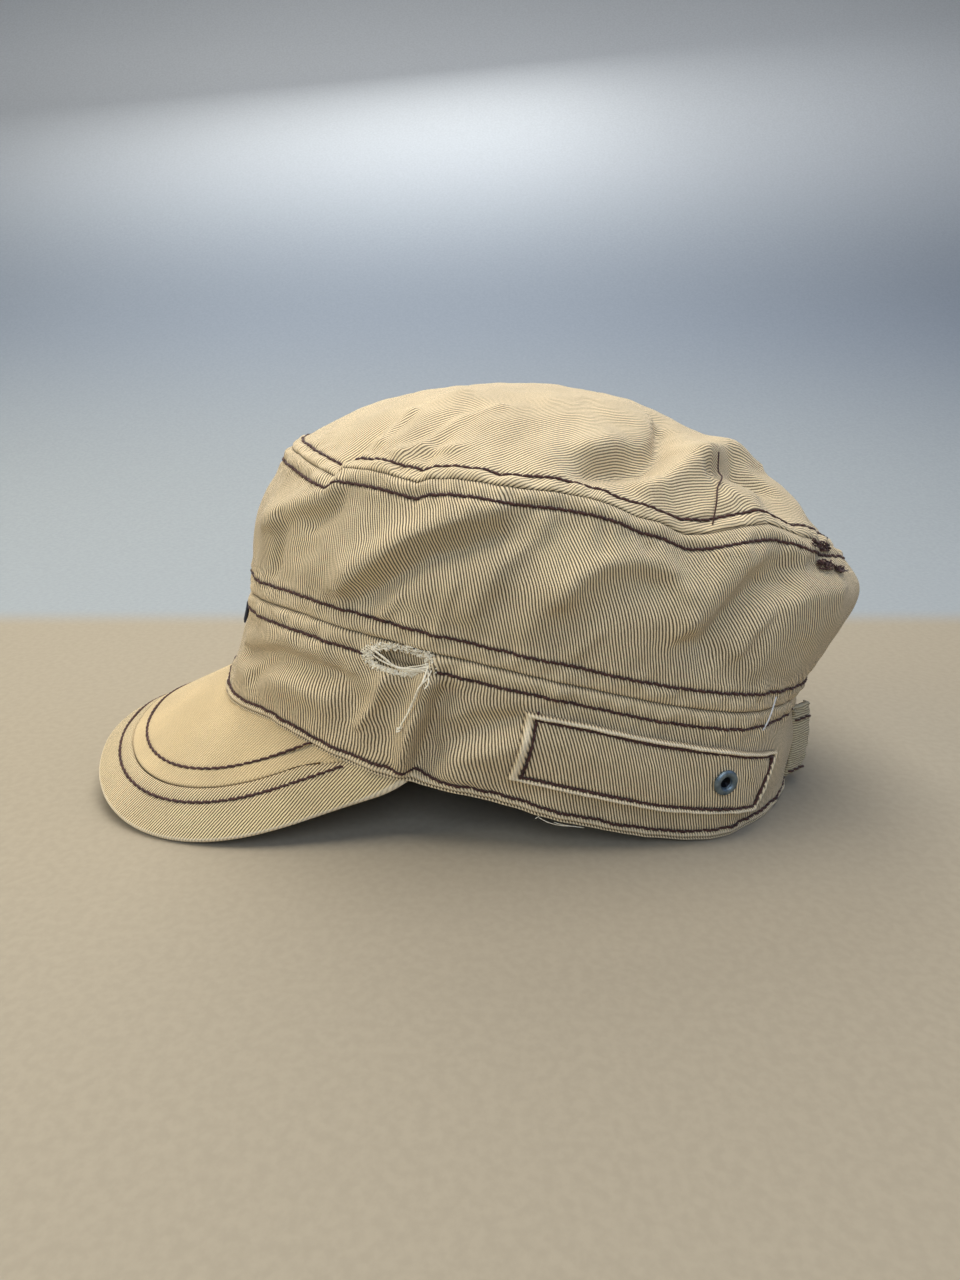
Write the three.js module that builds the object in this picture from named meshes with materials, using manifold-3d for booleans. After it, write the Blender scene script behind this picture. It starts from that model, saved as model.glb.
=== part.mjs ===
// Cadet cap: a soft twill cap with a flat-topped crown, a wide headband and a curved peak.
// It stands on a table as it would by itself: on the back of its hem and the two low
// sides of its peak. Millimetres, +Z up, front of the cap towards -Y, and the wearer's
// left side, which carries the stitched side tab, towards +X.
import * as THREE from "three";
import Module from "manifold-3d";
import { mergeVertices } from "three/addons/utils/BufferGeometryUtils.js";

// ---------------------------------------------------------------- driving dimensions
const WALL = 1.8; // cloth of crown and headband, with its seam allowances
const JOINT_GAP = 0.35; // clearance between neighbouring pieces
const COLUMNS = 72; // sections round the cap
const STRIP_WIDTH = 6.2; // topstitched strip on each side of the headband seam
const CROWN_STRIP_WIDTH = 4.8; // the same on the top panel's side of the crown seam
const STRIP_LIFT = 0.6; // how far a topstitched strip stands out
const STRIP_EDGE = 1.4; // length over which it falls back to the plain cloth
const HEM_ROLL = 3.8; // height of the rolled hem
const HEM_LIFT = 0.4; // how far that roll stands out
const APEX = { x: 0, y: 2, z: 149.3 }; // highest point of the crown
const APEX_LEVEL = 5;
const CROWN_LEVEL = 4;
const SEAM_LEVEL = 2;
const LEVEL_STEP = 0.05; // levels between two points that measure the cloth's length
const POLE = 0.04; // levels round the apex where the cloth faces straight up
const RIGHT_FOLD_SHARE = 0.5; // folds on the right side are this share of the left ones
const FOLD_BLEND = 10; // half-width of the change between the two sides, at x = 0

const SWEATBAND = { clearance: 0.7, thickness: 1.0, drop: 1.0, rows: 4, floor: 0.3 };

const PEAK = {
  radius: 89.5, // bend across the peak, at its root
  radiusGain: 32.5, // added to that radius for each 100 mm forward
  slope: 26.4, // fall of the ridge line, degrees
  lean: -18.8, // direction in which the sides fall, degrees from straight down
  rootY: -82.45, // ridge line's origin
  rootZ: 53.9,
  halfWidth: 92.7, // flat pattern, from the ridge to the side edge
  length: 92.8, // flat pattern, from the origin to the tip
  roundness: 2.58, // exponent of the outline
  sweep: 103.5, // angle of the outline reached where the edge meets the hem, degrees
  above: 1.0, // cloth and board above the middle surface
  below: 1.3, // and below it
  seamAtTip: 13.8, // border's width at the tip
  seamAtSide: 18.5, // and at the sides
  seamGap: 0.5, // groove between border and centre
  centreStation: 60, // the border's seam runs under the hem here
  cornerStation: 68, // the peak's outer edge runs under the hem here
  tuck: 0.9, // how far the root reaches under the hem
  settle: 12, // length over which the root follows the hem
  sweepStation: 70, // station at which the outline has turned through the whole sweep
  columnStep: 4, // stations between two columns of points
  pastCentre: 1.3, // stations from the centre's last column to the border's first full one
  centreRows: 6,
  borderRows: 4,
};

const TAB = {
  // corners on the headband: station round the cap and level up it
  frontTop: { station: 89, level: 1.525 },
  frontBottom: { station: 88, level: 0.55 },
  backTop: { station: 150, level: 1.225 },
  backBottom: { station: 146, level: 0.4 },
  lift: 0.6, // clearance to the headband
  thickness: 1.4,
  rollThickness: 2.2, // rolled edge
  rollWidth: 2.4,
  length: 95,
  height: 21,
  rollFall: 1.6, // roll widths from the edge at which the roll has ended
  columns: 20,
};

const EYELET = {
  station: 134,
  level: 0.975,
  outerRadius: 4.6,
  holeRadius: 1.9,
  barrelRadius: 2.4,
  cutRadius: 2.8,
  cutDepth: 12,
  seat: 0.45, // underside of the flange above the tab's face
  foot: 0.3, // end of the barrel above the tab's back
  flange: 1.1,
  outerRound: 0.8, // how far the flange's crown stays in from its outer edge
  holeRound: 0.9, // and from its hole
  sides: 20,
};

const LOOP = {
  station: 167,
  lowZ: 2.5,
  highZ: 31,
  width: 11,
  thickness: 1.6,
  foot: 2.0, // middle of the strap from the headband at its ends
  stand: 4.6, // and half way up
  turn: 34, // turn of the strap about its own length, degrees
  squareness: 0.6, // exponent of the arch, lower for a squarer one
  steps: 12,
};

const BADGE = {
  halfSpan: 8, // stations to each side of the front
  lowLevel: 1.2,
  highLevel: 1.72,
  lift: 0.6,
  thickness: 1.1,
  columns: 6,
};

// Search for the peak's flat pattern place under a point in plan.
const SEARCH = { startY: -80, passes: 30, share: 0.9 };

const TWILL = { color: 0xb39e78, roughness: 0.95, metalness: 0 };
const TWILL_INSIDE = { color: 0x9a8763, roughness: 0.95, metalness: 0 };
const NAVY_PATCH = { color: 0x20242c, roughness: 0.9, metalness: 0 };
const STEEL_BLUE = { color: 0x6d7f8a, roughness: 0.4, metalness: 0.9 };

// ------------------------------------------------------------------------ shape tables
/** A table's rows as objects, one property for each named column. */
function table(columns, rows) {
  const names = columns.split(" ");
  return rows.map((row) => Object.fromEntries(row.map((value, i) => [names[i], value])));
}

// Five loops round the cap. Station 0 is the front centre and 180 the back centre, down
// the left side; the right side mirrors them.
const HEM = table("station x y z", [
  [0, 0, -116.5, 38.7],
  [20, 29, -111, 36.4],
  [40, 51, -89, 35.2],
  [60, 68.5, -61, 28.8],
  [80, 77.5, -22, 20],
  [100, 79.5, 14, 10],
  [120, 76, 45, 2.4],
  [140, 69.5, 71, 0],
  [160, 42, 96, 0],
  [180, 0, 107, 0],
]);
const BAND_MIDDLE = table("station x y z", [
  [0, 0, -108.5, 57],
  [20, 31, -101.5, 57],
  [40, 57, -82, 55],
  [60, 74, -51, 49.5],
  [80, 81, -17, 42],
  [100, 82.5, 17, 34],
  [120, 79.5, 46, 26.5],
  [140, 70, 74, 22.5],
  [160, 42, 98, 20],
  [180, 0, 108, 20],
]);
const BAND_SEAM = table("station x y z", [
  [0, 0, -104, 74],
  [20, 30, -98, 76.3],
  [40, 56, -77, 76.8],
  [60, 73.5, -48, 73],
  [80, 81, -15, 66.8],
  [100, 82, 17, 59.5],
  [120, 78.5, 46, 52],
  [140, 69, 75, 46],
  [160, 40, 99, 41],
  [180, 0, 107, 39],
]);
const SIDE_MIDDLE = table("station x y z", [
  [0, 0, -100.5, 102],
  [20, 31, -94, 102],
  [40, 57, -74, 101],
  [60, 76, -45, 99],
  [80, 84, -12, 96],
  [100, 84.5, 20, 91],
  [120, 79, 50, 83],
  [140, 66.5, 82, 79],
  [160, 44, 114, 76],
  [180, 0, 129.5, 73],
]);
const CROWN_SEAM = table("station x y z", [
  [0, 0, -86, 127],
  [20, 27, -80.5, 127],
  [40, 50, -65, 125.5],
  [60, 67, -41, 124],
  [80, 75, -12, 123],
  [100, 75.5, 18, 118.5],
  [120, 70.5, 47, 109],
  [140, 59, 76, 106.5],
  [160, 36, 106, 97],
  [180, 0, 119, 88],
]);
// How sharply the top panel turns down towards the crown seam.
const DOME = table("station power", [
  [0, 2.8],
  [90, 2.5],
  [180, 2.05],
]);

// Folds of the worn cloth: each is a soft ridge (height > 0) or valley (height < 0) along
// a path of points near the surface.
const FOLDS = table("name width height path", [
  ["side main ridge", 6, 2.0, [[79, -12, 113], [78, -28, 109], [77, -40, 104], [71, -57, 95]]],
  ["side main valley", 7, -2.6, [[80, -9, 110], [80, -23, 105], [79, -35, 101], [74, -51, 90]]],
  ["side front ridge", 6, 1.6, [[53, -67, 118], [45, -79, 113], [35, -91, 105]]],
  ["side front valley", 8, -1.6, [[58, -67, 110], [53, -77, 102], [45, -87, 93]]],
  ["side middle valley", 8, -1.8, [[80, 8, 110], [83, -1, 103], [84, -9, 89]]],
  ["side middle ridge", 9, 1.2, [[79, 20, 108], [84, 9, 99], [85, -1, 86]]],
  ["side back ridge", 6, 1.4, [[78, 37, 99], [83, 21, 98], [85, 12, 93]]],
  ["side back valley", 7, -1.6, [[80, 38, 95], [84, 23, 92], [85, 11, 81]]],
  ["corner ridge", 8, 2.0, [[68, 67, 98], [75, 57, 90], [79, 50, 81]]],
  ["corner valley", 8, -3.0, [[60, 84, 94], [70, 70, 90], [75, 61, 83], [79, 52, 74]]],
  ["overhang ridge", 9, 1.5, [[60, 91, 82], [69, 79, 75], [71, 73, 64]]],
  ["overhang valley", 6, -1.2, [[67, 80, 81], [72, 73, 70], [73, 68, 63]]],
  ["band front dent", 5, -2.6, [[34, -100, 56], [54, -84, 61], [68, -64, 60]]],
  ["band front bulge", 7, 1.8, [[32, -104, 49], [56, -84, 54], [67, -66, 51]]],
  ["band first valley", 6, -1.6, [[69, -63, 59], [70, -61, 51], [70, -59, 43]]],
  ["band first ridge", 5, 1.4, [[75, -48, 58], [74, -51, 48], [72, -55, 40]]],
  ["band second valley", 4.5, -1.3, [[76, -43, 53], [75, -47, 46], [73, -50, 38]]],
  ["band second ridge", 5, 2.2, [[78, -33, 58], [78, -38, 46], [75, -42, 31]]],
  ["band crease", 6, -3.2, [[79, -30, 52], [78, -33, 42], [75, -38, 28]]],
  ["band hollow", 6, -1.6, [[82, -9, 50], [81, -20, 45], [78, -31, 38]]],
  ["band swell", 8, 1.4, [[82, -7, 38], [80, -17, 35], [78, -27, 30]]],
  ["top dent", 8, -3.2, [[25, 45, 139], [46, 41, 132], [58, 32, 127], [65, 16, 128]]],
  ["top dent's lip", 8, 1.2, [[49, 27, 134], [59, 19, 131], [64, 9, 130]]],
  ["top swell", 8, 2.6, [[14, 74, 127], [46, 58, 126], [61, 42, 120]]],
  ["top valley", 8, -2.0, [[31, 66, 128], [35, 74, 122], [42, 83, 113]]],
  ["top back ridge", 8, 1.5, [[18, 89, 116], [28, 95, 109], [42, 94, 104]]],
  ["top front ridge", 7, 1.4, [[24, -24, 147], [42, -34, 140], [51, -41, 134]]],
  ["top front valley", 7, -1.2, [[55, -32, 134], [48, -28, 139], [39, -19, 143]]],
  ["top corner valley", 6, -1.4, [[41, -44, 138], [46, -51, 134], [49, -55, 130]]],
]);

// Rows of each ring of cloth, from bottom to top. A row lies at a level, moved along the
// cloth by so many mm, and stands so far out from the plain surface. Those marked inner
// are repeated on the inside of the wall.
const HEADBAND_ROWS = table("level along lift inner", [
  [0, 0, 0.2, true],
  [0, HEM_ROLL, HEM_LIFT, true],
  [0, HEM_ROLL + STRIP_EDGE, 0, false],
  [0.5, 0, 0, true],
  [0.8, 0, 0, true],
  [1.1, 0, 0, true],
  [1.4, 0, 0, true],
  [SEAM_LEVEL, -STRIP_WIDTH - STRIP_EDGE, 0, false],
  [SEAM_LEVEL, -STRIP_WIDTH, STRIP_LIFT, true],
  [SEAM_LEVEL, -JOINT_GAP / 2, STRIP_LIFT, true],
]);
const SIDE_PANEL_ROWS = table("level along lift inner", [
  [SEAM_LEVEL, JOINT_GAP / 2, STRIP_LIFT, true],
  [SEAM_LEVEL, STRIP_WIDTH, STRIP_LIFT, false],
  [SEAM_LEVEL, STRIP_WIDTH + STRIP_EDGE, 0, true],
  [2.4, 0, 0, false],
  [2.65, 0, 0, true],
  [2.9, 0, 0, false],
  [3.15, 0, 0, true],
  [3.4, 0, 0, false],
  [CROWN_LEVEL, -STRIP_WIDTH - STRIP_EDGE, 0, true],
  [CROWN_LEVEL, -STRIP_WIDTH, STRIP_LIFT, false],
  [CROWN_LEVEL, -JOINT_GAP / 2, STRIP_LIFT, true],
]);
const TOP_PANEL_ROWS = table("level along lift inner", [
  [CROWN_LEVEL, JOINT_GAP / 2, STRIP_LIFT, true],
  [CROWN_LEVEL, CROWN_STRIP_WIDTH, STRIP_LIFT, false],
  [CROWN_LEVEL, CROWN_STRIP_WIDTH + STRIP_EDGE, 0, true],
  [4.2, 0, 0, false],
  [4.32, 0, 0, true],
  [4.46, 0, 0, false],
  [4.62, 0, 0, true],
  [4.8, 0, 0, false],
]);

// --------------------------------------------------------------------- the cap's surface
const radians = THREE.MathUtils.degToRad;
const UP = new THREE.Vector3(0, 0, 1);

/** A loop's rows as a closed smooth curve, the right side mirrored from the left. */
function ringCurve(rows) {
  const left = rows.map((row) => new THREE.Vector3(row.x, row.y, row.z));
  const right = left.slice(1, -1).reverse().map((p) => new THREE.Vector3(-p.x, p.y, p.z));
  return new THREE.CatmullRomCurve3([...left, ...right], true, "catmullrom", 0.5);
}

const LOOPS = [HEM, BAND_MIDDLE, BAND_SEAM, SIDE_MIDDLE, CROWN_SEAM].map(ringCurve);

/** A loop's point at a station from -180 to 180, never below the table. */
function ringPoint(curve, station) {
  const point = curve.getPoint((((station % 360) + 360) % 360) / 360);
  point.z = Math.max(point.z, 0);
  return point;
}

/** A table's column read between its rows, for a station on either side. */
function between(rows, column, station) {
  const s = Math.abs(((station + 540) % 360) - 180);
  const i = Math.max(1, rows.findIndex((row) => row.station >= s));
  const [a, b] = [rows[i - 1], rows[i]];
  return THREE.MathUtils.lerp(a[column], b[column], (s - a.station) / (b.station - a.station));
}

/** The plain surface: level 0 is the hem, 2 the band seam, 4 the crown seam, 5 the apex. */
function plainPoint(station, level) {
  const loopPoints = LOOPS.map((curve) => ringPoint(curve, station));
  if (level <= CROWN_LEVEL) {
    const profile = new THREE.CatmullRomCurve3(loopPoints, false, "catmullrom", 0.5);
    return profile.getPoint(level / CROWN_LEVEL);
  }
  const rim = loopPoints[CROWN_LEVEL];
  const spoke = APEX_LEVEL - level;
  const fall = (APEX.z - rim.z) * spoke ** between(DOME, "power", station);
  return new THREE.Vector3(
    THREE.MathUtils.lerp(APEX.x, rim.x, spoke),
    THREE.MathUtils.lerp(APEX.y, rim.y, spoke),
    APEX.z - fall,
  );
}

/** Outward direction of the plain surface. */
function outward(station, level) {
  if (level > APEX_LEVEL - POLE) return UP.clone();
  const stationStep = 1;
  const levelStep = 0.02;
  const round = plainPoint(station + stationStep, level).sub(plainPoint(station - stationStep, level));
  const up = plainPoint(station, level + levelStep).sub(plainPoint(station, Math.max(level - levelStep, 0)));
  return round.cross(up).normalize();
}

/** Height of all the folds together at a point near the surface. */
function foldHeight(point) {
  const side = THREE.MathUtils.smoothstep(point.x, -FOLD_BLEND, FOLD_BLEND);
  const share = THREE.MathUtils.lerp(RIGHT_FOLD_SHARE, 1, side);
  const mirrored = new THREE.Vector3(Math.abs(point.x), point.y, point.z);
  const nearest = new THREE.Vector3();
  let height = 0;
  for (const fold of FOLDS) {
    let distance = Infinity;
    for (let i = 1; i < fold.path.length; i++) {
      const [from, to] = fold.path.slice(i - 1, i + 1).map((place) => new THREE.Vector3(...place));
      const line = new THREE.Line3(from, to);
      line.closestPointToPoint(mirrored, true, nearest);
      distance = Math.min(distance, nearest.distanceTo(mirrored));
    }
    height += share * fold.height * Math.exp(-((distance / fold.width) ** 2));
  }
  return height;
}

/** A point of the worn cap, standing so far out from its cloth. */
function capPoint(station, level, lift) {
  const point = plainPoint(station, level);
  const height = foldHeight(point) + lift;
  return point.addScaledVector(outward(station, level), height);
}

/** The level that lies so many mm along the cloth from another level. */
function levelAlong(station, level, along) {
  if (along === 0) return level;
  const step = LEVEL_STEP * Math.sign(along);
  const length = plainPoint(station, level).distanceTo(plainPoint(station, level + step));
  return level + (step * Math.abs(along)) / length;
}

// ------------------------------------------------------------------------ closed solids
/** A mesh from vertices and triangles, turned so that its faces point out. */
function solidMesh(name, look, vertices, triangles) {
  let volume = 0;
  for (const [a, b, c] of triangles) {
    volume += vertices[a].dot(new THREE.Vector3().crossVectors(vertices[b], vertices[c]));
  }
  const faces = volume > 0 ? triangles : triangles.map(([a, b, c]) => [a, c, b]);
  const geometry = new THREE.BufferGeometry().setFromPoints(vertices);
  geometry.setIndex(faces.flat());
  geometry.computeVertexNormals();
  const mesh = new THREE.Mesh(geometry, new THREE.MeshStandardMaterial(look));
  mesh.name = name;
  return mesh;
}

/** Triangles between two closed rows of vertices that start at the given indices. */
function bridge(triangles, lower, upper, count) {
  for (let i = 0; i < count; i++) {
    const next = (i + 1) % count;
    triangles.push([lower + i, lower + next, upper + next], [lower + i, upper + next, upper + i]);
  }
}

/** A solid bounded by closed rows: a ring if they close on themselves, or with two poles. */
function rowsSolid(name, look, rows, poles) {
  const count = rows[0].length;
  const vertices = rows.flat();
  const triangles = [];
  for (let r = 0; r + 1 < rows.length; r++) bridge(triangles, r * count, (r + 1) * count, count);
  if (!poles) {
    bridge(triangles, (rows.length - 1) * count, 0, count);
    return solidMesh(name, look, vertices, triangles);
  }
  const first = vertices.push(poles[0]) - 1;
  const last = vertices.push(poles[1]) - 1;
  const top = (rows.length - 1) * count;
  for (let i = 0; i < count; i++) {
    const next = (i + 1) % count;
    triangles.push([first, next, i], [last, top + i, top + next]);
  }
  return solidMesh(name, look, vertices, triangles);
}

/** A slab between two grids of points of the same size. */
function slabSolid(name, look, upper, lower) {
  const columns = upper.length;
  const rows = upper[0].length;
  const vertices = [...upper.flat(), ...lower.flat()];
  const below = columns * rows;
  const at = (i, j) => i * rows + j;
  const triangles = [];
  const quad = (a, b, c, d) => triangles.push([a, b, c], [a, c, d]);
  for (let i = 0; i + 1 < columns; i++) {
    for (let j = 0; j + 1 < rows; j++) {
      quad(at(i, j), at(i + 1, j), at(i + 1, j + 1), at(i, j + 1));
      quad(below + at(i, j), below + at(i, j + 1), below + at(i + 1, j + 1), below + at(i + 1, j));
    }
    quad(at(i, 0), below + at(i, 0), below + at(i + 1, 0), at(i + 1, 0));
    quad(at(i, rows - 1), at(i + 1, rows - 1), below + at(i + 1, rows - 1), below + at(i, rows - 1));
  }
  const last = columns - 1;
  for (let j = 0; j + 1 < rows; j++) {
    quad(at(0, j), at(0, j + 1), below + at(0, j + 1), below + at(0, j));
    quad(at(last, j), below + at(last, j), below + at(last, j + 1), at(last, j + 1));
  }
  return solidMesh(name, look, vertices, triangles);
}

// ------------------------------------------------------------------- crown and headband
const STATIONS = Array.from({ length: COLUMNS }, (_, i) => (i * 360) / COLUMNS);

/** One closed row of points of the cap at a level, moved along and lifted. */
function capRow({ level, along, lift }) {
  return STATIONS.map((station) => capPoint(station, levelAlong(station, level, along), lift));
}

/** The rows that a table marks as inner, at one depth inside the cloth. */
function innerRows(rows, lift) {
  return rows.filter((row) => row.inner).map(({ level, along }) => capRow({ level, along, lift }));
}

/** A ring of cloth: rows inside the wall from the top down, then outside from the bottom up. */
function clothRing(name, rows, poles) {
  const inside = innerRows(rows, -WALL).reverse();
  return rowsSolid(name, TWILL, [...inside, ...rows.map(capRow)], poles);
}

/** The headband, cut level at its hem so that the back of it rests on the table. */
function headband() {
  const mesh = clothRing("headband", HEADBAND_ROWS);
  const position = mesh.geometry.getAttribute("position");
  const innerHem = (HEADBAND_ROWS.filter((row) => row.inner).length - 1) * COLUMNS;
  const outerHem = innerHem + COLUMNS;
  STATIONS.forEach((station, i) => {
    const height = ringPoint(LOOPS[0], station).z;
    position.setZ(innerHem + i, height);
    position.setZ(outerHem + i, height);
  });
  return mesh;
}

function sidePanel() {
  return clothRing("side_panel", SIDE_PANEL_ROWS);
}

function topPanel() {
  const outside = capPoint(0, APEX_LEVEL, 0);
  const inside = capPoint(0, APEX_LEVEL, -WALL);
  return clothRing("top_panel", TOP_PANEL_ROWS, [inside, outside]);
}

/** The sweatband, a thin ring inside the headband that shows just below its hem. */
function sweatband() {
  const outerLift = -WALL - SWEATBAND.clearance;
  const innerLift = outerLift - SWEATBAND.thickness;
  const edge = (lift) =>
    STATIONS.map((station) => {
      const point = capPoint(station, 0, lift);
      point.z = Math.max(ringPoint(LOOPS[0], station).z - SWEATBAND.drop, SWEATBAND.floor);
      return point;
    });
  const outer = innerRows(HEADBAND_ROWS, outerLift).slice(1, SWEATBAND.rows);
  const top = innerRows(HEADBAND_ROWS, innerLift)[SWEATBAND.rows - 1];
  return rowsSolid("sweatband", TWILL_INSIDE, [edge(outerLift), ...outer, top, edge(innerLift)]);
}

// ---------------------------------------------------------------------------- the peak
/** Middle surface of the peak, from its flat pattern: u across, w forward. */
function sheetPoint(u, w) {
  const radius = PEAK.radius + (PEAK.radiusGain * w) / 100;
  const fall = radius * (1 - Math.cos(u / radius));
  const slope = radians(PEAK.slope);
  const lean = radians(PEAK.lean);
  return new THREE.Vector3(
    radius * Math.sin(u / radius),
    PEAK.rootY - w * Math.cos(slope) - fall * Math.sin(lean),
    PEAK.rootZ - w * Math.sin(slope) - fall * Math.cos(lean),
  );
}

function sheetNormal(u, w) {
  const across = sheetPoint(u + 0.5, w).sub(sheetPoint(u - 0.5, w));
  const forward = sheetPoint(u, w + 0.5).sub(sheetPoint(u, w - 0.5));
  return forward.cross(across).normalize();
}

function sheetTop(u, w) {
  return sheetPoint(u, w).addScaledVector(sheetNormal(u, w), PEAK.above);
}

/** The flat-pattern place whose upper surface lies at x, y in plan. */
function flatPlace(x, y) {
  let [u, w] = [x, SEARCH.startY - y];
  for (let pass = 0; pass < SEARCH.passes; pass++) {
    const point = sheetTop(u, w);
    u += (x - point.x) * SEARCH.share;
    w -= (y - point.y) * SEARCH.share;
  }
  return new THREE.Vector2(u, w);
}

/** The peak's root at a station: its place in the flat pattern and how far it is lifted. */
function peakRoot(station) {
  const hem = ringPoint(LOOPS[0], station);
  const out = outward(station, 0).setZ(0).normalize();
  const place = flatPlace(hem.x - PEAK.tuck * out.x, hem.y - PEAK.tuck * out.y);
  const rise = hem.z - JOINT_GAP - sheetTop(place.x, place.y).z;
  return { place, rise };
}

/** Outline of the flat pattern, drawn in by so much at the tip and at the sides. */
function peakOutline(station, atTip, atSide) {
  const angle = radians((PEAK.sweep * station) / PEAK.sweepStation);
  const bent = (value) => Math.sign(value) * Math.abs(value) ** (2 / PEAK.roundness);
  return new THREE.Vector2(
    (PEAK.halfWidth - atSide) * bent(Math.sin(angle)),
    (PEAK.length - atTip) * bent(Math.cos(angle)),
  );
}

/** Upper and lower columns of points of the peak between two places of its pattern. */
function peakColumn(station, from, to, rows) {
  const { place: root, rise } = peakRoot(station);
  const upper = [];
  const lower = [];
  for (let j = 0; j <= rows; j++) {
    const place = from.clone().lerp(to, j / rows);
    const distance = place.distanceTo(root);
    const near = Math.exp(-((distance / PEAK.settle) ** 2));
    const top = sheetTop(place.x, place.y);
    top.z += rise * near;
    // straight down at the root, square to the sheet further out
    const down = sheetNormal(place.x, place.y).lerp(UP, near).normalize();
    const bottom = top.clone().addScaledVector(down, -PEAK.above - PEAK.below);
    bottom.z = Math.max(bottom.z, 0);
    upper.push(top);
    lower.push(bottom);
  }
  return { upper, lower };
}

function peakPiece(name, columns) {
  const upper = columns.map((column) => column.upper);
  const lower = columns.map((column) => column.lower);
  return slabSolid(name, TWILL, upper, lower);
}

/** Centre of the peak, from the hem to the border's seam. */
function peakCentre() {
  const columns = [];
  for (let station = -PEAK.centreStation; station <= PEAK.centreStation; station += PEAK.columnStep) {
    const seam = peakOutline(station, PEAK.seamAtTip + PEAK.seamGap, PEAK.seamAtSide + PEAK.seamGap);
    columns.push(peakColumn(station, peakRoot(station).place, seam, PEAK.centreRows));
  }
  return peakPiece("peak_centre", columns);
}

/** Border of the peak, from its seam, or past the centre from the hem, to the edge. */
function peakBorder() {
  const step = PEAK.columnStep;
  const pastCentre = PEAK.centreStation + PEAK.pastCentre;
  const columns = [];
  const add = (station) => {
    const inCentre = Math.abs(station) <= PEAK.centreStation;
    const seam = peakOutline(station, PEAK.seamAtTip, PEAK.seamAtSide);
    const from = inCentre ? seam : peakRoot(station).place;
    columns.push(peakColumn(station, from, peakOutline(station, 0, 0), PEAK.borderRows));
  };
  add(-PEAK.cornerStation);
  add(-PEAK.centreStation - step);
  add(-pastCentre);
  for (let station = -PEAK.centreStation; station <= PEAK.centreStation; station += step) add(station);
  add(pastCentre);
  add(PEAK.centreStation + step);
  add(PEAK.cornerStation);
  return peakPiece("peak_border", columns);
}

// ------------------------------------------------------------- tab, eyelet, loop, badge
/** A point of the side tab: fractions along it and up it, and how far it stands out. */
function tabPoint(along, up, lift) {
  const mix = (key) =>
    THREE.MathUtils.lerp(
      THREE.MathUtils.lerp(TAB.frontBottom[key], TAB.frontTop[key], up),
      THREE.MathUtils.lerp(TAB.backBottom[key], TAB.backTop[key], up),
      along,
    );
  return capPoint(mix("station"), mix("level"), TAB.lift + lift);
}

/** A unit cylinder or lathe solid placed with its axis, local Y, along a direction. */
function aimed(geometry, place, direction) {
  const turn = new THREE.Quaternion().setFromUnitVectors(new THREE.Vector3(0, 1, 0), direction);
  return geometry.applyQuaternion(turn).translate(place.x, place.y, place.z);
}

/** A closed geometry as a manifold-3d solid, for cutting. */
function cuttable(wasm, geometry) {
  const bare = geometry.clone();
  bare.deleteAttribute("normal");
  bare.deleteAttribute("uv");
  const merged = mergeVertices(bare, 1e-4);
  return new wasm.Manifold(
    new wasm.Mesh({
      numProp: 3,
      vertProperties: merged.getAttribute("position").array,
      triVerts: new Uint32Array(merged.index.array),
    }),
  );
}

/** Where the eyelet sits: a point on the tab's face, and the face's direction. */
function eyeletSeat() {
  const place = capPoint(EYELET.station, EYELET.level, TAB.lift + TAB.thickness);
  return { place, direction: outward(EYELET.station, EYELET.level) };
}

/** The side tab, a flat strap with rolled edges, pierced for its eyelet. */
function sideTab(wasm) {
  const rollAlong = TAB.rollWidth / TAB.length;
  const rollUp = TAB.rollWidth / TAB.height;
  const along = [0, rollAlong];
  for (let i = 1; i < TAB.columns; i++) along.push(i / TAB.columns);
  along.push(1 - rollAlong, 1);
  const rollEnd = TAB.rollFall * rollUp;
  const up = [0, rollUp, rollEnd, 0.5, 1 - rollEnd, 1 - rollUp, 1];
  const inRoll = (value, roll) => value <= roll + 1e-6 || value >= 1 - roll - 1e-6;
  const rise = (a, b) => (inRoll(a, rollAlong) || inRoll(b, rollUp) ? TAB.rollThickness : TAB.thickness);
  const upper = along.map((a) => up.map((b) => tabPoint(a, b, rise(a, b))));
  const lower = along.map((a) => up.map((b) => tabPoint(a, b, 0)));
  const mesh = slabSolid("side_tab", TWILL, upper, lower);
  const { place, direction } = eyeletSeat();
  const drill = new THREE.CylinderGeometry(EYELET.cutRadius, EYELET.cutRadius, EYELET.cutDepth, EYELET.sides);
  const cut = cuttable(wasm, mesh.geometry).subtract(cuttable(wasm, aimed(drill, place, direction)));
  const { vertProperties, triVerts } = cut.getMesh();
  mesh.geometry = new THREE.BufferGeometry();
  mesh.geometry.setAttribute("position", new THREE.BufferAttribute(vertProperties, 3));
  mesh.geometry.setIndex(new THREE.BufferAttribute(triVerts, 1));
  mesh.geometry.computeVertexNormals();
  return mesh;
}

/** The pressed metal eyelet: a rounded flange on the tab and a barrel through it. */
function eyelet() {
  const { place, direction } = eyeletSeat();
  const { outerRadius, holeRadius, barrelRadius, seat, flange } = EYELET;
  const foot = EYELET.foot - TAB.thickness;
  const profile = [
    [barrelRadius, foot],
    [barrelRadius, seat],
    [outerRadius, seat],
    [outerRadius, seat + 0.5 * flange],
    [outerRadius - EYELET.outerRound, seat + flange],
    [holeRadius + EYELET.holeRound, seat + flange],
    [holeRadius, seat + 0.5 * flange],
    [holeRadius, foot],
    [barrelRadius, foot],
  ];
  const points = profile.map(([radius, height]) => new THREE.Vector2(radius, height));
  const lathe = new THREE.LatheGeometry(points, EYELET.sides);
  const mesh = new THREE.Mesh(aimed(lathe, place, direction), new THREE.MeshStandardMaterial(STEEL_BLUE));
  mesh.name = "eyelet";
  return mesh;
}

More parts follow.
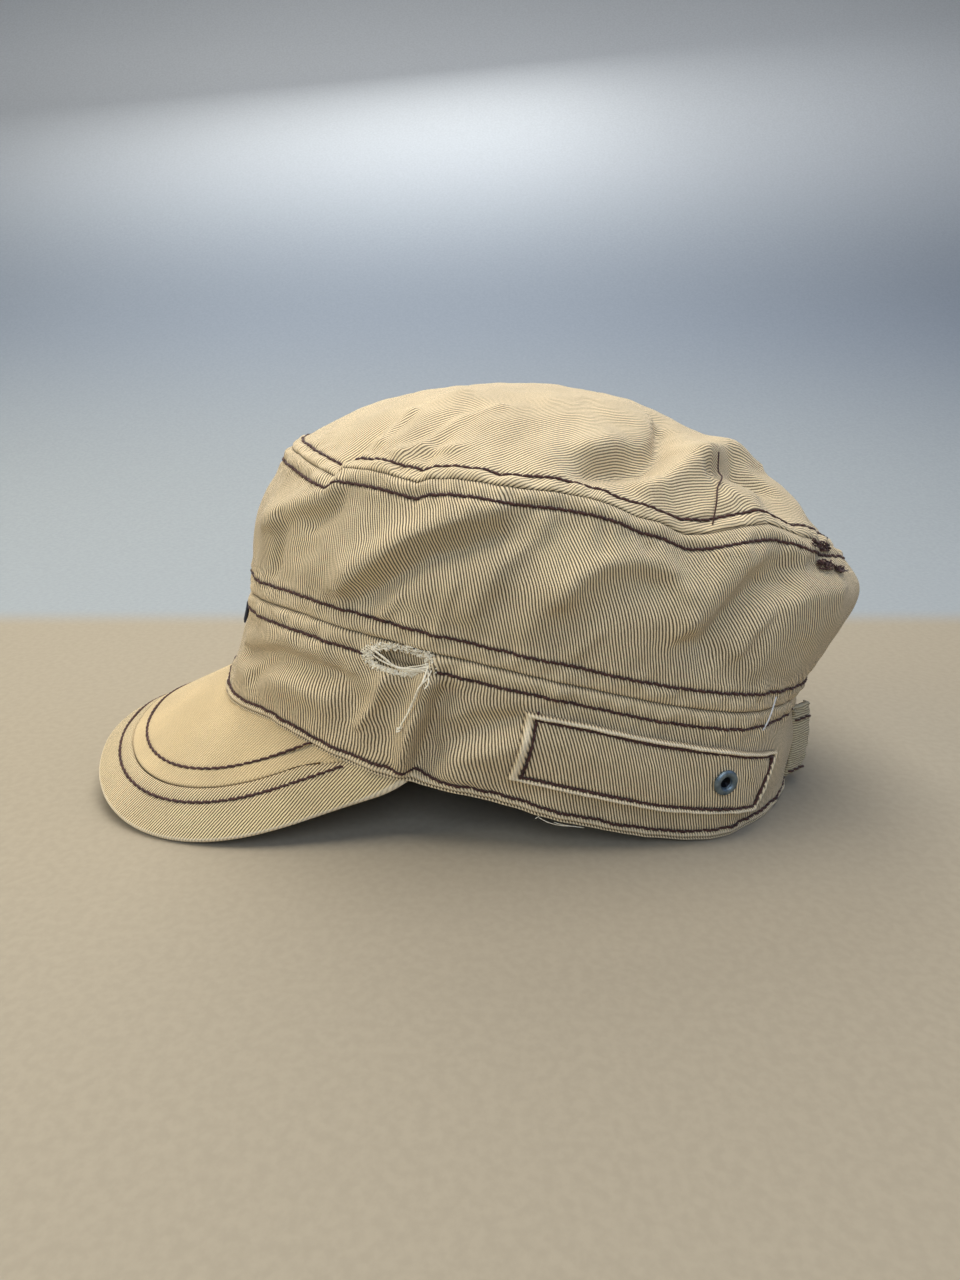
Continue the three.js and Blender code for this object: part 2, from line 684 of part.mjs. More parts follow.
/** The upright strap loop at the back, arched away from the headband. */
function backLoop() {
  const upper = [];
  const lower = [];
  const base = capPoint(LOOP.station, 1, 0);
  const out = outward(LOOP.station, 1).setZ(0).normalize();
  const face = out.clone().applyAxisAngle(UP, radians(-LOOP.turn));
  const across = UP.clone().cross(face).normalize();
  for (let i = 0; i <= LOOP.steps; i++) {
    const share = i / LOOP.steps;
    const stand = THREE.MathUtils.lerp(LOOP.foot, LOOP.stand, Math.sin(Math.PI * share) ** LOOP.squareness);
    const spine = base.clone().addScaledVector(out, stand);
    spine.z = THREE.MathUtils.lerp(LOOP.lowZ, LOOP.highZ, share);
    const edge = (side, depth) =>
      spine.clone().addScaledVector(across, (side * LOOP.width) / 2).addScaledVector(face, depth);
    upper.push([edge(-1, LOOP.thickness), edge(1, LOOP.thickness)]);
    lower.push([edge(-1, 0), edge(1, 0)]);
  }
  return slabSolid("back_loop", TWILL, upper, lower);
}

/** The small plain patch at the front of the headband, under its seam. */
function frontBadge() {
  const grid = (lift) => {
    const columns = [];
    for (let i = 0; i <= BADGE.columns; i++) {
      const station = THREE.MathUtils.lerp(-BADGE.halfSpan, BADGE.halfSpan, i / BADGE.columns);
      const row = [BADGE.lowLevel, (BADGE.lowLevel + BADGE.highLevel) / 2, BADGE.highLevel];
      columns.push(row.map((level) => capPoint(station, level, BADGE.lift + lift)));
    }
    return columns;
  };
  return slabSolid("front_badge", NAVY_PATCH, grid(BADGE.thickness), grid(0));
}

// ------------------------------------------------------------------------- the assembly
const wasm = await Module();
wasm.setup();

const cap = new THREE.Group();
cap.add(topPanel(), sidePanel(), headband(), sweatband());
cap.add(peakCentre(), peakBorder());
cap.add(sideTab(wasm), eyelet(), backLoop(), frontBadge());

// The origin is the middle of the cap's box, on the table.
const box = new THREE.Box3().setFromObject(cap, true);
const middle = box.getCenter(new THREE.Vector3());
cap.position.set(-middle.x, -middle.y, -box.min.z);

export default cap;
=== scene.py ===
"""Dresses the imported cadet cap: puffed seams, twill, stitches, the frayed tear and threads.

Shapes are worked out in millimetres in the cap's own coordinates, with +Z up, the front
towards -Y and the wearer's left towards +X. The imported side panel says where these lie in
the frame. A place on the cloth is a station round the cap, from 0 at the front through 180 at
the back, and a level up it: 0 hem, 2 band seam, 4 crown seam, 5 apex.
"""

import math

import bmesh
import bpy
import numpy as np
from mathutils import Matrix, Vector


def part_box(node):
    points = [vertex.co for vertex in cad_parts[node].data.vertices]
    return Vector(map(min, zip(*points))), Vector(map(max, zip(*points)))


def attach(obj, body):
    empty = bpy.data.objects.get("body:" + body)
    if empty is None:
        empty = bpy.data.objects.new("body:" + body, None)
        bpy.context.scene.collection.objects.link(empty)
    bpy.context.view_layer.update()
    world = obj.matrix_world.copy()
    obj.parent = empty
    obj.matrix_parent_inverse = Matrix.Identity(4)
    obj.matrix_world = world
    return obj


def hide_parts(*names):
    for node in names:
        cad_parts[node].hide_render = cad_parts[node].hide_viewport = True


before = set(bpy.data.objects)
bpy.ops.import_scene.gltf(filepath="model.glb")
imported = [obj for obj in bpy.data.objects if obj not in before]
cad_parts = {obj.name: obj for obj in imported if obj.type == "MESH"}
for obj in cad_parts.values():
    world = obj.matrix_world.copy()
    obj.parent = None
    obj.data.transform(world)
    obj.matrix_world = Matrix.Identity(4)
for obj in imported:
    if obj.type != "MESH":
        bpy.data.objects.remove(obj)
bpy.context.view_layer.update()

MM = 0.001  # metres

# ------------------------------------------------------------------ sizes of the source
WALL = 1.8
HEM_ROLL = 3.8  # from the hem's edge to its stitches
STRIP_WIDTH = 6.2  # from the band seam to the stitches on each side
CROWN_STRIP_WIDTH = 4.8  # the crown seam's strip on the top panel
CROWN_LOW_STRIP = 5.2  # and on the side panel
SEAM_LEVEL = 2
CROWN_LEVEL = 4
APEX_LEVEL = 5
APEX = np.array([0, 2, 149.3])
LEVEL_STEP = 0.05  # the short step that measures how long a level is
POLE = 0.04  # levels below the apex where the surface counts as flat
RIGHT_FOLD_SHARE = 0.5  # the right side has milder folds
FOLD_BLEND = 10  # mm to each side of the middle over which they grow milder
SWEATBAND = {"clearance": 0.7, "thickness": 1.0, "drop": 1.0, "floor": 0.3, "top": 0.8, "fold": 0.35}
PEAK = {
    "radius": 89.5,
    "radius_gain": 32.5,
    "slope": 26.4,
    "lean": -18.8,
    "root_y": -82.45,
    "root_z": 53.9,
    "half_width": 92.7,
    "length": 92.8,
    "roundness": 2.58,
    "sweep": 103.5,
    "sweep_station": 70,
    "above": 1.0,
    "below": 1.3,
    "seam_tip": 13.8,
    "seam_side": 18.5,
    "seam_gap": 0.5,
    "centre_station": 60,
    "corner_station": 68,
    "tuck": 0.9,
    "joint_gap": 0.35,
    "settle": 12,
}
TAB = {
    "low_ends": (86.8, 145.2),  # stations of the lower edge's two ends
    "high_ends": (88.6, 149.6),
    # shares along the tab and their levels
    "low_edge": [(0, 0.52), (0.42, 0.54), (0.65, 0.52), (0.87, 0.46), (1, 0.38)],
    "high_edge": [(0, 1.556), (0.23, 1.575), (0.57, 1.556), (0.74, 1.52), (1, 1.32)],
    "lift": 0.6,
    "thickness": 1.4,
    "length": 95,
    "height": 21,
}
EYELET = {
    "station": 133.6,
    "level": 1.015,
    "outer": 4.6,
    "hole": 1.9,
    "seat": 0.45,
    "flange": 1.1,
    "stem": 2.4,
    "depth": 1.1,
    "rim": 0.1,
    "sides": 48,
}
LOOP = {
    "station": 167,
    "low": 5.6,
    "high": 33.4,
    "width": 11,
    "half": 0.8,  # half its thickness, and how much more that is where it is folded
    "folded": 0.45,
    "foot": 1.1,
    "bow": 1.56,
    "bulge": 0.35,
    "turn": 34,
    "limits": (4.0, 35.0),  # the heights that it keeps within
}
BADGE = {"half_span": 8, "low": 1.2, "high": 1.72, "lift": 0.6, "thickness": 1.1, "edge_level": 0.04}

# Five loops round the cap, station by station down the left side: x, y, z.
HEM = [
    (0, -116.5, 38.7), (29, -111, 36.4), (51, -89, 35.2), (68.5, -61, 28.8), (77.5, -22, 20),
    (79.5, 14, 10), (76, 45, 2.4), (69.5, 71, 0), (42, 96, 0), (0, 107, 0),
]
BAND_MIDDLE = [
    (0, -108.5, 57), (31, -101.5, 57), (57, -82, 55), (74, -51, 49.5), (81, -17, 42),
    (82.5, 17, 34), (79.5, 46, 26.5), (70, 74, 22.5), (42, 98, 20), (0, 108, 20),
]
BAND_SEAM = [
    (0, -104, 74), (30, -98, 76.3), (56, -77, 76.8), (73.5, -48, 73), (81, -15, 66.8),
    (82, 17, 59.5), (78.5, 46, 52), (69, 75, 46), (40, 99, 41), (0, 107, 39),
]
SIDE_MIDDLE = [
    (0, -100.5, 102), (31, -94, 102), (57, -74, 101), (76, -45, 99), (84, -12, 96),
    (84.5, 20, 91), (79, 50, 83), (66.5, 82, 79), (44, 114, 76), (0, 129.5, 73),
]
CROWN_SEAM = [
    (0, -86, 127), (27, -80.5, 127), (50, -65, 125.5), (67, -41, 124), (75, -12, 123),
    (75.5, 18, 118.5), (70.5, 47, 109), (59, 76, 106.5), (36, 106, 97), (0, 119, 88),
]
DOME_STATIONS = (0, 90, 180)
DOME_POWERS = (2.8, 2.5, 2.05)

# Folds of the worn cloth: width, height and a path of points near the surface.
FOLDS = [
    (6, 2.0, [(79, -12, 113), (78, -28, 109), (77, -40, 104), (71, -57, 95)]),  # side main ridge
    (7, -2.6, [(80, -9, 110), (80, -23, 105), (79, -35, 101), (74, -51, 90)]),  # side main valley
    (6, 1.6, [(53, -67, 118), (45, -79, 113), (35, -91, 105)]),  # side front ridge
    (8, -1.6, [(58, -67, 110), (53, -77, 102), (45, -87, 93)]),  # side front valley
    (8, -1.8, [(80, 8, 110), (83, -1, 103), (84, -9, 89)]),  # side middle valley
    (9, 1.2, [(79, 20, 108), (84, 9, 99), (85, -1, 86)]),  # side middle ridge
    (6, 1.4, [(78, 37, 99), (83, 21, 98), (85, 12, 93)]),  # side back ridge
    (7, -1.6, [(80, 38, 95), (84, 23, 92), (85, 11, 81)]),  # side back valley
    (8, 2.0, [(68, 67, 98), (75, 57, 90), (79, 50, 81)]),  # corner ridge
    (8, -3.0, [(60, 84, 94), (70, 70, 90), (75, 61, 83), (79, 52, 74)]),  # corner valley
    (9, 1.5, [(60, 91, 82), (69, 79, 75), (71, 73, 64)]),  # overhang ridge
    (6, -1.2, [(67, 80, 81), (72, 73, 70), (73, 68, 63)]),  # overhang valley
    (5, -2.6, [(34, -100, 56), (54, -84, 61), (68, -64, 60)]),  # band front dent
    (7, 1.8, [(32, -104, 49), (56, -84, 54), (67, -66, 51)]),  # band front bulge
    (6, -1.6, [(69, -63, 59), (70, -61, 51), (70, -59, 43)]),  # band first valley
    (5, 1.4, [(75, -48, 58), (74, -51, 48), (72, -55, 40)]),  # band first ridge
    (4.5, -1.3, [(76, -43, 53), (75, -47, 46), (73, -50, 38)]),  # band second valley
    (5, 2.2, [(78, -33, 58), (78, -38, 46), (75, -42, 31)]),  # band second ridge
    (6, -3.2, [(79, -30, 52), (78, -33, 42), (75, -38, 28)]),  # band crease
    (6, -1.6, [(82, -9, 50), (81, -20, 45), (78, -31, 38)]),  # band hollow
    (8, 1.4, [(82, -7, 38), (80, -17, 35), (78, -27, 30)]),  # band swell
    (8, -3.2, [(25, 45, 139), (46, 41, 132), (58, 32, 127), (65, 16, 128)]),  # top dent
    (8, 1.2, [(49, 27, 134), (59, 19, 131), (64, 9, 130)]),  # top dent's lip
    (8, 2.6, [(14, 74, 127), (46, 58, 126), (61, 42, 120)]),  # top swell
    (8, -2.0, [(31, 66, 128), (35, 74, 122), (42, 83, 113)]),  # top valley
    (8, 1.5, [(18, 89, 116), (28, 95, 109), (42, 94, 104)]),  # top back ridge
    (7, 1.4, [(24, -24, 147), (42, -34, 140), (51, -41, 134)]),  # top front ridge
    (7, -1.2, [(55, -32, 134), (48, -28, 139), (39, -19, 143)]),  # top front valley
    (6, -1.4, [(41, -44, 138), (46, -51, 134), (49, -55, 130)]),  # top corner valley
]


# ---------------------------------------------------------------------- the cap's surface


def whole_loop(left):
    """A loop's 18 points, the right side mirrored from the left."""
    left = np.array(left, float)
    return np.vstack([left, left[-2:0:-1] * (-1, 1, 1)])


LOOPS = [whole_loop(rows) for rows in (HEM, BAND_MIDDLE, BAND_SEAM, SIDE_MIDDLE, CROWN_SEAM)]


def catmull(p0, p1, p2, p3, f):
    """The smooth curve between p1 and p2."""
    bend = (2 * p0 - 5 * p1 + 4 * p2 - p3) * f**2
    twist = (3 * p1 - p0 - 3 * p2 + p3) * f**3
    return 0.5 * (2 * p1 + (p2 - p0) * f + bend + twist)


def ring_point(loop, station):
    """A loop's point at a station, never below the table."""
    count = len(loop)
    place = np.asarray(station, float) * count / 360
    whole = np.floor(place).astype(int)
    f = (place - whole)[..., None]
    near = [loop[(whole + k) % count] for k in (-1, 0, 1, 2)]
    point = catmull(*near, f)
    point[..., 2] = np.maximum(point[..., 2], 0)
    return point


def mirrored(station):
    """The station of the same place on the left side, from 0 to 180."""
    turned = np.mod(station, 360)
    return np.minimum(turned, 360 - turned)


def plain(station, level):
    """The cap's surface without folds."""
    station, level = np.broadcast_arrays(np.asarray(station, float), np.asarray(level, float))
    loops = np.stack([ring_point(loop, station) for loop in LOOPS])
    ends = np.concatenate([2 * loops[:1] - loops[1:2], loops, 2 * loops[-1:] - loops[-2:-1]])
    low = np.clip(level, 0, CROWN_LEVEL)
    span = np.clip(np.floor(low).astype(int), 0, CROWN_LEVEL - 1)
    near = [np.take_along_axis(ends, (span + k)[None, ..., None], axis=0)[0] for k in range(4)]
    wall = catmull(*near, (low - span)[..., None])
    rim = loops[CROWN_LEVEL]
    spoke = np.clip(APEX_LEVEL - level, 0, 1)[..., None]
    power = np.interp(mirrored(station), DOME_STATIONS, DOME_POWERS)
    dome = rim * spoke + APEX * (1 - spoke)
    dome[..., 2] = APEX[2] - (APEX[2] - rim[..., 2]) * spoke[..., 0] ** power
    return np.where((level > CROWN_LEVEL)[..., None], dome, wall)


def unit(vectors):
    """Vectors of length 1 in the same directions."""
    length = np.linalg.norm(vectors, axis=-1, keepdims=True)
    return vectors / np.maximum(length, 1e-9)


def outward(station, level):
    """Outward direction of the surface without folds."""
    station, level = np.broadcast_arrays(np.asarray(station, float), np.asarray(level, float))
    around = plain(station + 1, level) - plain(station - 1, level)
    up = plain(station, level + 0.02) - plain(station, np.maximum(level - 0.02, 0))
    normal = unit(np.cross(around, up))
    normal[level > APEX_LEVEL - POLE] = (0, 0, 1)
    return normal


def smooth_step(x, start, end):
    """0 up to the start and 1 from the end, with a smooth rise between them."""
    t = np.clip((x - start) / (end - start), 0, 1)
    return t * t * (3 - 2 * t)


def path_offsets(points, path):
    """Each straight piece of a path, with the points' offsets from it."""
    for a, b in zip(path[:-1], path[1:]):
        a, b = np.array(a, float), np.array(b, float)
        along = np.clip((points - a) @ (b - a) / ((b - a) @ (b - a)), 0, 1)
        yield b - a, points - a - along[..., None] * (b - a)


def side_share(points):
    """How strong the folds are: whole on the left side and milder on the right."""
    blend = smooth_step(points[..., 0], -FOLD_BLEND, FOLD_BLEND)
    return RIGHT_FOLD_SHARE + (1 - RIGHT_FOLD_SHARE) * blend


def fold_height(points, folds):
    """Height of the source's folds together."""
    left = points * (1, 1, 1)
    left[..., 0] = np.abs(left[..., 0])
    height = np.zeros(points.shape[:-1])
    for width, rise, path in folds:
        away = [np.linalg.norm(offset, axis=-1) for _, offset in path_offsets(left, path)]
        height += rise * np.exp(-((np.minimum.reduce(away) / width) ** 2))
    return side_share(points) * height


SIDE_BLEND = 24  # a crease's width turns from one to the other over this, mm of path times mm off it
CREASE_REACH = 60  # mm from a crease's middle past which it has no height


def crease_height(points, out, creases):
    """Height of the sharper folds, each with a width on its path's left and on its right."""
    flip = np.where(points[..., :1] < 0, -1.0, 1.0) * (1, 0, 0) + (0, 1, 1)
    left, out = points * flip, out * flip
    height = np.zeros(points.shape[:-1])
    for wide_left, wide_right, rise, path in creases:
        best = np.full(points.shape[:-1], np.inf)
        side = np.zeros(points.shape[:-1])
        for piece, away in path_offsets(left, path):
            away = away - out * (away * out).sum(-1, keepdims=True)
            distance = np.linalg.norm(away, axis=-1)
            turn = (np.cross(piece, away) * out).sum(-1)
            side = np.where(distance < best, turn, side)
            best = np.minimum(best, distance)
        width = wide_right + (wide_left - wide_right) * smooth_step(side, -SIDE_BLEND, SIDE_BLEND)
        near = (np.abs(left - np.mean(path, axis=0)) < CREASE_REACH).all(-1)
        height += rise * np.exp(-((best / width) ** 2)) * near
    return side_share(points) * height


def skin(station, level, lift=0.0):
    """A point of the worn cap, standing so far out from its cloth."""
    station, level = np.broadcast_arrays(np.asarray(station, float), np.asarray(level, float))
    point = plain(station, level)
    out = outward(station, level)
    folds = FOLD_DEPTH * fold_height(point, FOLDS)
    folds = folds + CREASE_DEPTH * crease_height(point, out, FINE_FOLDS)
    held = HEM_FOLD_SHARE + (1 - HEM_FOLD_SHARE) * smooth_step(level, *HEM_HOLDS)
    moved = point + out * (folds * held + lift)[..., None]
    return moved + seam_wander(station, level) - hem_sag(station, level)


def level_along(station, level, along):
    """The level that lies so many mm along the cloth from another level."""
    station = np.asarray(station, float)
    step = LEVEL_STEP * np.sign(along) + (along == 0) * LEVEL_STEP
    level = np.full(station.shape, float(level))
    length = np.linalg.norm(plain(station, level) - plain(station, level + step), axis=-1)
    return level + step * abs(along) / length


# ------------------------------------------------------------------ finer shapes of the cloth
WANDER_SHIFT = 17  # stations by which the right side's kinks differ from the left's
WANDER_SHARE = 0.7
SEAM_WANDER = [  # station, and how far the crown seam is pushed up there, mm
    (0, 0), (22, 0.5), (30, -1.0), (36, -2.2), (41.5, -3.2), (44.5, 0.6), (47, 1.2), (51, 1.5),
    (56, 1.1), (60, 0.1), (64, -1.0), (67, 0.6), (71, 1.1), (76, 0.6), (81, -0.4), (87, 0),
    (94, 0.7), (104, 0.2), (110, -0.5), (115, 0), (121, -1.9), (127, -1.4), (133, -0.3),
    (138, 0.8), (142, 1.7), (146, 0.8), (150, -1.2), (160, 0), (200, 0),
]
WANDER_BELOW = 0.5  # levels over which the push dies away on the side panel
WANDER_ABOVE = 0.17  # and on the top panel

# Sharper folds than the source holds: width on the path's left and on its right, height,
# and the path over the left side.
FINE_FOLDS = [
    (6, 2.4, 1.3, [(68, -61, 89), (74, -53, 96), (77, -37, 107), (79, -19, 113), (78, -11, 115)]),
    (3, 3.5, -0.9, [(69, -57, 83), (73, -46, 91), (78, -31, 102), (79, -20, 104), (79, -10, 108)]),
    (5, 2.2, 1.0, [(41, -88, 104), (50, -76, 112), (57, -64, 117)]),  # behind the front corner
    (4, 3.5, -0.9, [(54, -71, 108), (58, -63, 113)]),
    (4, 4, -0.6, [(54, -77, 97), (59, -71, 100)]),
    (3, 2.6, -1.0, [(46, -83, 107), (44, -85, 98), (42, -88, 88)]),
    (6, 3.5, 0.8, [(82, -19, 85), (83, -14, 92), (82, -9, 100), (79, 4, 110)]),  # side middle
    (2.4, 2.0, 0.6, [(74, -46, 82), (77, -42, 88)]),
    (2.4, 2.0, 0.4, [(79, -30, 77), (81, -27, 87), (82, -24, 93)]),
    (5, 3, 0.8, [(86, 9, 89), (86, 15, 96), (84, 22, 100), (80, 33, 100), (77, 42, 96)]),
    (4, 3, 0.5, [(77, 42, 96), (79, 49, 90)]),
    (2.4, 2.4, -0.5, [(79, 22, 110), (82, 22, 104)]),
    (2.4, 2.4, -0.4, [(76, 34, 107), (78, 35, 104)]),
    (7, 2.8, 1.3, [(78, 52, 78), (74, 59, 85), (67, 69, 95), (60, 78, 97), (53, 91, 96)]),  # back corner
    (3, 3.5, -1.0, [(76, 56, 72), (73, 62, 79), (69, 69, 85), (64, 75, 89), (61, 85, 88)]),
    (3.5, 2.0, 0.7, [(73, 68, 69), (72, 72, 75), (68, 78, 80)]),
    (6, 4, 0.7, [(65, 83, 82), (59, 95, 85), (50, 106, 83)]),
    (3, 3, -0.5, [(76, 56, 66), (76, 60, 69)]),
    (2.6, 2, 0.4, [(83, 14, 71), (84, 21, 78)]),
    (2.6, 2, 0.4, [(80, 46, 77), (79, 51, 81)]),
    (3.5, 2.4, 0.8, [(49, -49, 132), (42, -44, 137), (36, -39, 142)]),  # top, front
    (2.2, 3.0, 0.6, [(56, -34, 132), (52, -29, 135), (45, -22, 140), (39, -9, 144)]),
    (3, 2.0, 0.6, [(59, -42, 130), (58, -34, 132), (61, -24, 132)]),
    (6, 2.6, 1.1, [(57, 21, 131), (46, 36, 130), (38, 41, 133), (25, 43, 137)]),  # top dent
    (3, 4, -1.3, [(63, 19, 125), (58, 28, 125), (54, 38, 125), (44, 44, 129), (30, 47, 135)]),
    (4, 3, 0.7, [(65, 36, 120), (59, 46, 124), (48, 58, 128)]),
    (6, 3, 1.2, [(44, 59, 129), (27, 71, 128), (18, 84, 121)]),  # top, back
    (3, 4, -1.2, [(50, 61, 125), (36, 73, 121), (34, 83, 116)]),
    (5, 3, 0.6, [(65, 51, 114), (60, 60, 115), (50, 75, 114)]),
    (5, 2.2, 1.1, [(32, -99, 58), (51, -84, 65), (62, -70, 64), (67, -60, 61)]),  # band, front
    (2.6, 4, -0.9, [(43, -99, 49), (49, -89, 57), (59, -77, 58), (66, -68, 56)]),
    (5, 5, -0.7, [(70, -58, 51), (75, -51, 50)]),
    (2.2, 1.8, 0.8, [(71, -57, 42), (75, -50, 52), (76, -47, 60)]),
    (3.2, 1.9, 1.6, [(74, -41, 29), (77, -39, 40), (79, -35, 50), (80, -32, 60)]),  # band crease
    (1.8, 3.0, -1.1, [(73, -39, 27), (75, -35, 38), (77, -31, 49), (79, -29, 57)]),
    (5, 3, 0.7, [(77, -27, 48), (80, -18, 52), (81, -7, 53)]),
    (3, 4, -0.9, [(76, -30, 35), (79, -21, 41), (81, -12, 45), (82, -3, 48)]),
    (6, 5, 0.8, [(79, -26, 36), (83, -12, 38), (83, -4, 41)]),
    (3, 3, 0.4, [(79, -25, 28), (80, -17, 26)]),
]


FOLD_DEPTH = 1.2  # how much deeper the folds are than in the source
CREASE_DEPTH = 2.35
HEM_FOLD_SHARE = 0.25  # the stitched hem holds flat, with this share of the folds
HEM_HOLDS = (0.0, 0.32)  # levels between which the folds grow to their whole height
HEM_SAG = [(0, 0.8), (40, 1.2), (55, 1.8), (68, 2.2), (73, 1.7), (81, 0), (180, 0)]
SAG_LEVELS = (0.05, 0.45)


def hem_sag(station, level):
    """How far the hem hangs lower at the peak's corners, as a vector."""
    table = np.array(HEM_SAG, float)
    moved = np.zeros(np.shape(level) + (3,))
    fall = np.interp(mirrored(station), table[:, 0], table[:, 1])
    moved[..., 2] = fall * (1 - smooth_step(level, *SAG_LEVELS))
    return moved


def seam_wander(station, level):
    """How far the kinked crown seam pulls the cloth up or down, as a vector."""
    table = np.array(SEAM_WANDER, float)
    left = np.mod(station, 360) <= 180
    place = mirrored(station) + np.where(left, 0, WANDER_SHIFT)
    push = np.interp(place, table[:, 0], table[:, 1]) * np.where(left, 1, WANDER_SHARE)
    reach = np.where(level > CROWN_LEVEL, WANDER_ABOVE, WANDER_BELOW)
    push = push * np.exp(-(((level - CROWN_LEVEL) / reach) ** 2))
    moved = np.zeros(np.shape(push) + (3,))
    moved[..., 2] = push
    return moved


def waves(points, size, seed, count=28):
    """A soft random height, mostly between -1 and 1, that varies over the given length."""
    rng = np.random.default_rng(seed)
    turns = unit(rng.normal(size=(count, 3))) * rng.uniform(0.6, 1.5, (count, 1)) * 2 * np.pi / size
    phases = rng.uniform(0, 2 * np.pi, count)
    return np.sin(points @ turns.T + phases).sum(-1) * 1.4 / np.sqrt(count)


# Cross-section of a topstitched strip: mm from its seam, as a share of the strip's width
# up to 1 and in mm beyond, then how far it stands out, its pucker and its shade: painted shade in the
# grooves below 0, a painted highlight on the raised roll above 0.
STRIP_PROFILE = [
    (0.012, -0.32, 0.0, -0.8), (0.05, -0.02, 0.06, -0.4), (0.1, 0.32, 0.14, 0.1),
    (0.18, 0.6, 0.22, 0.3), (0.3, 0.8, 0.3, 0.32), (0.45, 0.88, 0.36, 0.22),
    (0.6, 0.84, 0.38, 0.14), (0.75, 0.7, 0.38, 0.06), (0.87, 0.44, 0.34, -0.12),
    (0.95, 0.12, 0.3, -0.4), (1.0, -0.02, 0.26, -0.6),
]
BEYOND_STRIP = [
    (0.5, 0.12, 0.28, -0.35), (1.1, 0.3, 0.3, 0.08), (2.0, 0.32, 0.28, 0.12),
    (3.2, 0.16, 0.22, 0.02), (4.8, 0.04, 0.14, 0.0), (7.0, 0.0, 0.06, 0.0),
]
# The rolled hem from its lower edge: mm along the cloth, then as above.
HEM_PROFILE = [
    (0.0, -0.7, 0.0, -0.5), (0.1, 0.0, 0.0, 0.1), (0.35, 0.4, 0.03, 0.6),
    (0.7, 0.45, 0.05, 0.4), (0.95, 0.2, 0.05, -0.4), (1.15, -0.1, 0.05, -0.9),
    (1.4, 0.3, 0.08, -0.1), (1.75, 0.7, 0.1, 0.35), (2.3, 0.95, 0.12, 0.65), (2.8, 0.85, 0.14, 0.45),
    (3.3, 0.45, 0.14, 0.0), (3.6, 0.05, 0.12, -0.5), (3.8, -0.1, 0.12, -0.8),
    (4.2, 0.05, 0.14, -0.45), (4.8, 0.28, 0.18, 0.0),
    (5.8, 0.26, 0.2, 0.06), (7.4, 0.08, 0.14, 0.0), (9.5, 0.0, 0.06, 0.0),
]
BEAD = {  # puckers that the stitches draw up across a strip
    "size": 3.4,
    "height": 0.15,
    "full": 0.3,  # the pucker of a row on which they have their whole height
    "radius": 95,  # lays them out round the cap, with a slant
    "slant": 0.35,
    "rhythm": 14,  # mm over which they wander, by so many radians
    "wander": 2.2,
    "spread": 26,  # mm over which their strength varies from its mean, up to a limit
    "mean": 0.45,
    "gain": 0.6,
    "limit": 1.2,
}
# Height and size of the cloth's waves, mm, and their seeds.
PUCKER_WAVES = [(1, 7.5, 3)]
SLACK_WAVES = [(0.26, 30, 5), (0.12, 11, 8)]
TAB_WAVES = [(0.12, 6, 21), (0.18, 22, 22)]
PEAK_WAVES = [(0.1, 26, 11)]
LOOP_WAVES = [(0.16, 4.5, 31)]
LOOP_LUMPS = [(0.5, 3.2, 33)]


def uneven(points, table):
    """The waves of a table together."""
    return sum(height * waves(points, size, seed) for height, size, seed in table)


def strip_rows(width, sign):
    """Rows of a strip and just beyond it, from its seam outwards."""
    rows = [(share * width, lift, pucker, shade) for share, lift, pucker, shade in STRIP_PROFILE]
    rows += [(width + mm, lift, pucker, shade) for mm, lift, pucker, shade in BEYOND_STRIP]
    return [(sign * mm, lift, pucker, shade) for mm, lift, pucker, shade in rows]


COLUMNS = 720
STATIONS = np.arange(COLUMNS) * 360 / COLUMNS


def split_rows(rows):
    """Rows of (levels, lift, pucker, shade) as four arrays."""
    levels = np.stack([row[0] for row in rows])
    return (levels, *(np.array([row[k] for row in rows])[:, None] for k in (1, 2, 3)))


def cloth_rows(low, high, count):
    """Levels, lifts, puckers and shades of a panel's rows between two edges.

    low and high are (level, rows), the rows reckoned along the cloth from that level.
    """
    def edge(level, rows):
        return [(level_along(STATIONS, level, mm), *rest) for mm, *rest in rows]

    bottom = edge(*low)
    top = edge(*high)[::-1]
    middle = []
    for k in range(1, count):
        share = k / count
        middle.append((bottom[-1][0] * (1 - share) + top[0][0] * share, 0.0, 0.0, 0.0))
    return split_rows(bottom + middle + top)


def slack(points, pucker):
    """Unevenness of the cloth: pucker beside seams, and soft waves everywhere."""
    turn = np.arctan2(points[..., 0], -points[..., 1]) * BEAD["radius"] + BEAD["slant"] * points[..., 2]
    phase = turn * 2 * np.pi / BEAD["size"] + BEAD["wander"] * waves(points, BEAD["rhythm"], 13)
    strength = BEAD["mean"] + BEAD["gain"] * waves(points, BEAD["spread"], 14)
    beads = BEAD["height"] * np.clip(strength, 0, BEAD["limit"]) * np.sin(phase)
    height = pucker * uneven(points, PUCKER_WAVES) + pucker / BEAD["full"] * beads
    return height + uneven(points, SLACK_WAVES)


def cloth_points(levels, lifts, puckers):
    """Points of the cloth's outer side, row by row."""
    lifts = lifts + slack(plain(STATIONS, levels), puckers)
    return skin(STATIONS, levels, lifts)


def wall_points(levels):
    """Points inside the wall, under the smooth cloth."""
    return skin(STATIONS, levels, -WALL)


# ------------------------------------------------------------------------------ meshes
# The side panel's outer rows, as the source makes them, say where the cap's own
# coordinates lie in the frame.
SOURCE_STATIONS = np.arange(72) * 5.0
SOURCE_ROWS = [  # level, mm along the cloth from it, how far the row stands out
    (2, 0.175, 0.6), (2, 6.2, 0.6), (2, 7.6, 0), (2.4, 0, 0), (2.65, 0, 0), (2.9, 0, 0),
    (3.15, 0, 0), (3.4, 0, 0), (4, -7.6, 0), (4, -6.2, 0.6), (4, -0.175, 0.6),
]


def source_row(level, along, lift):
    """A row of the side panel as the source makes it."""
    levels = level_along(SOURCE_STATIONS, level, along) if along else 0 * SOURCE_STATIONS + level
    point = plain(SOURCE_STATIONS, levels)
    height = fold_height(point, FOLDS) + lift
    return point + outward(SOURCE_STATIONS, levels) * height[:, None]


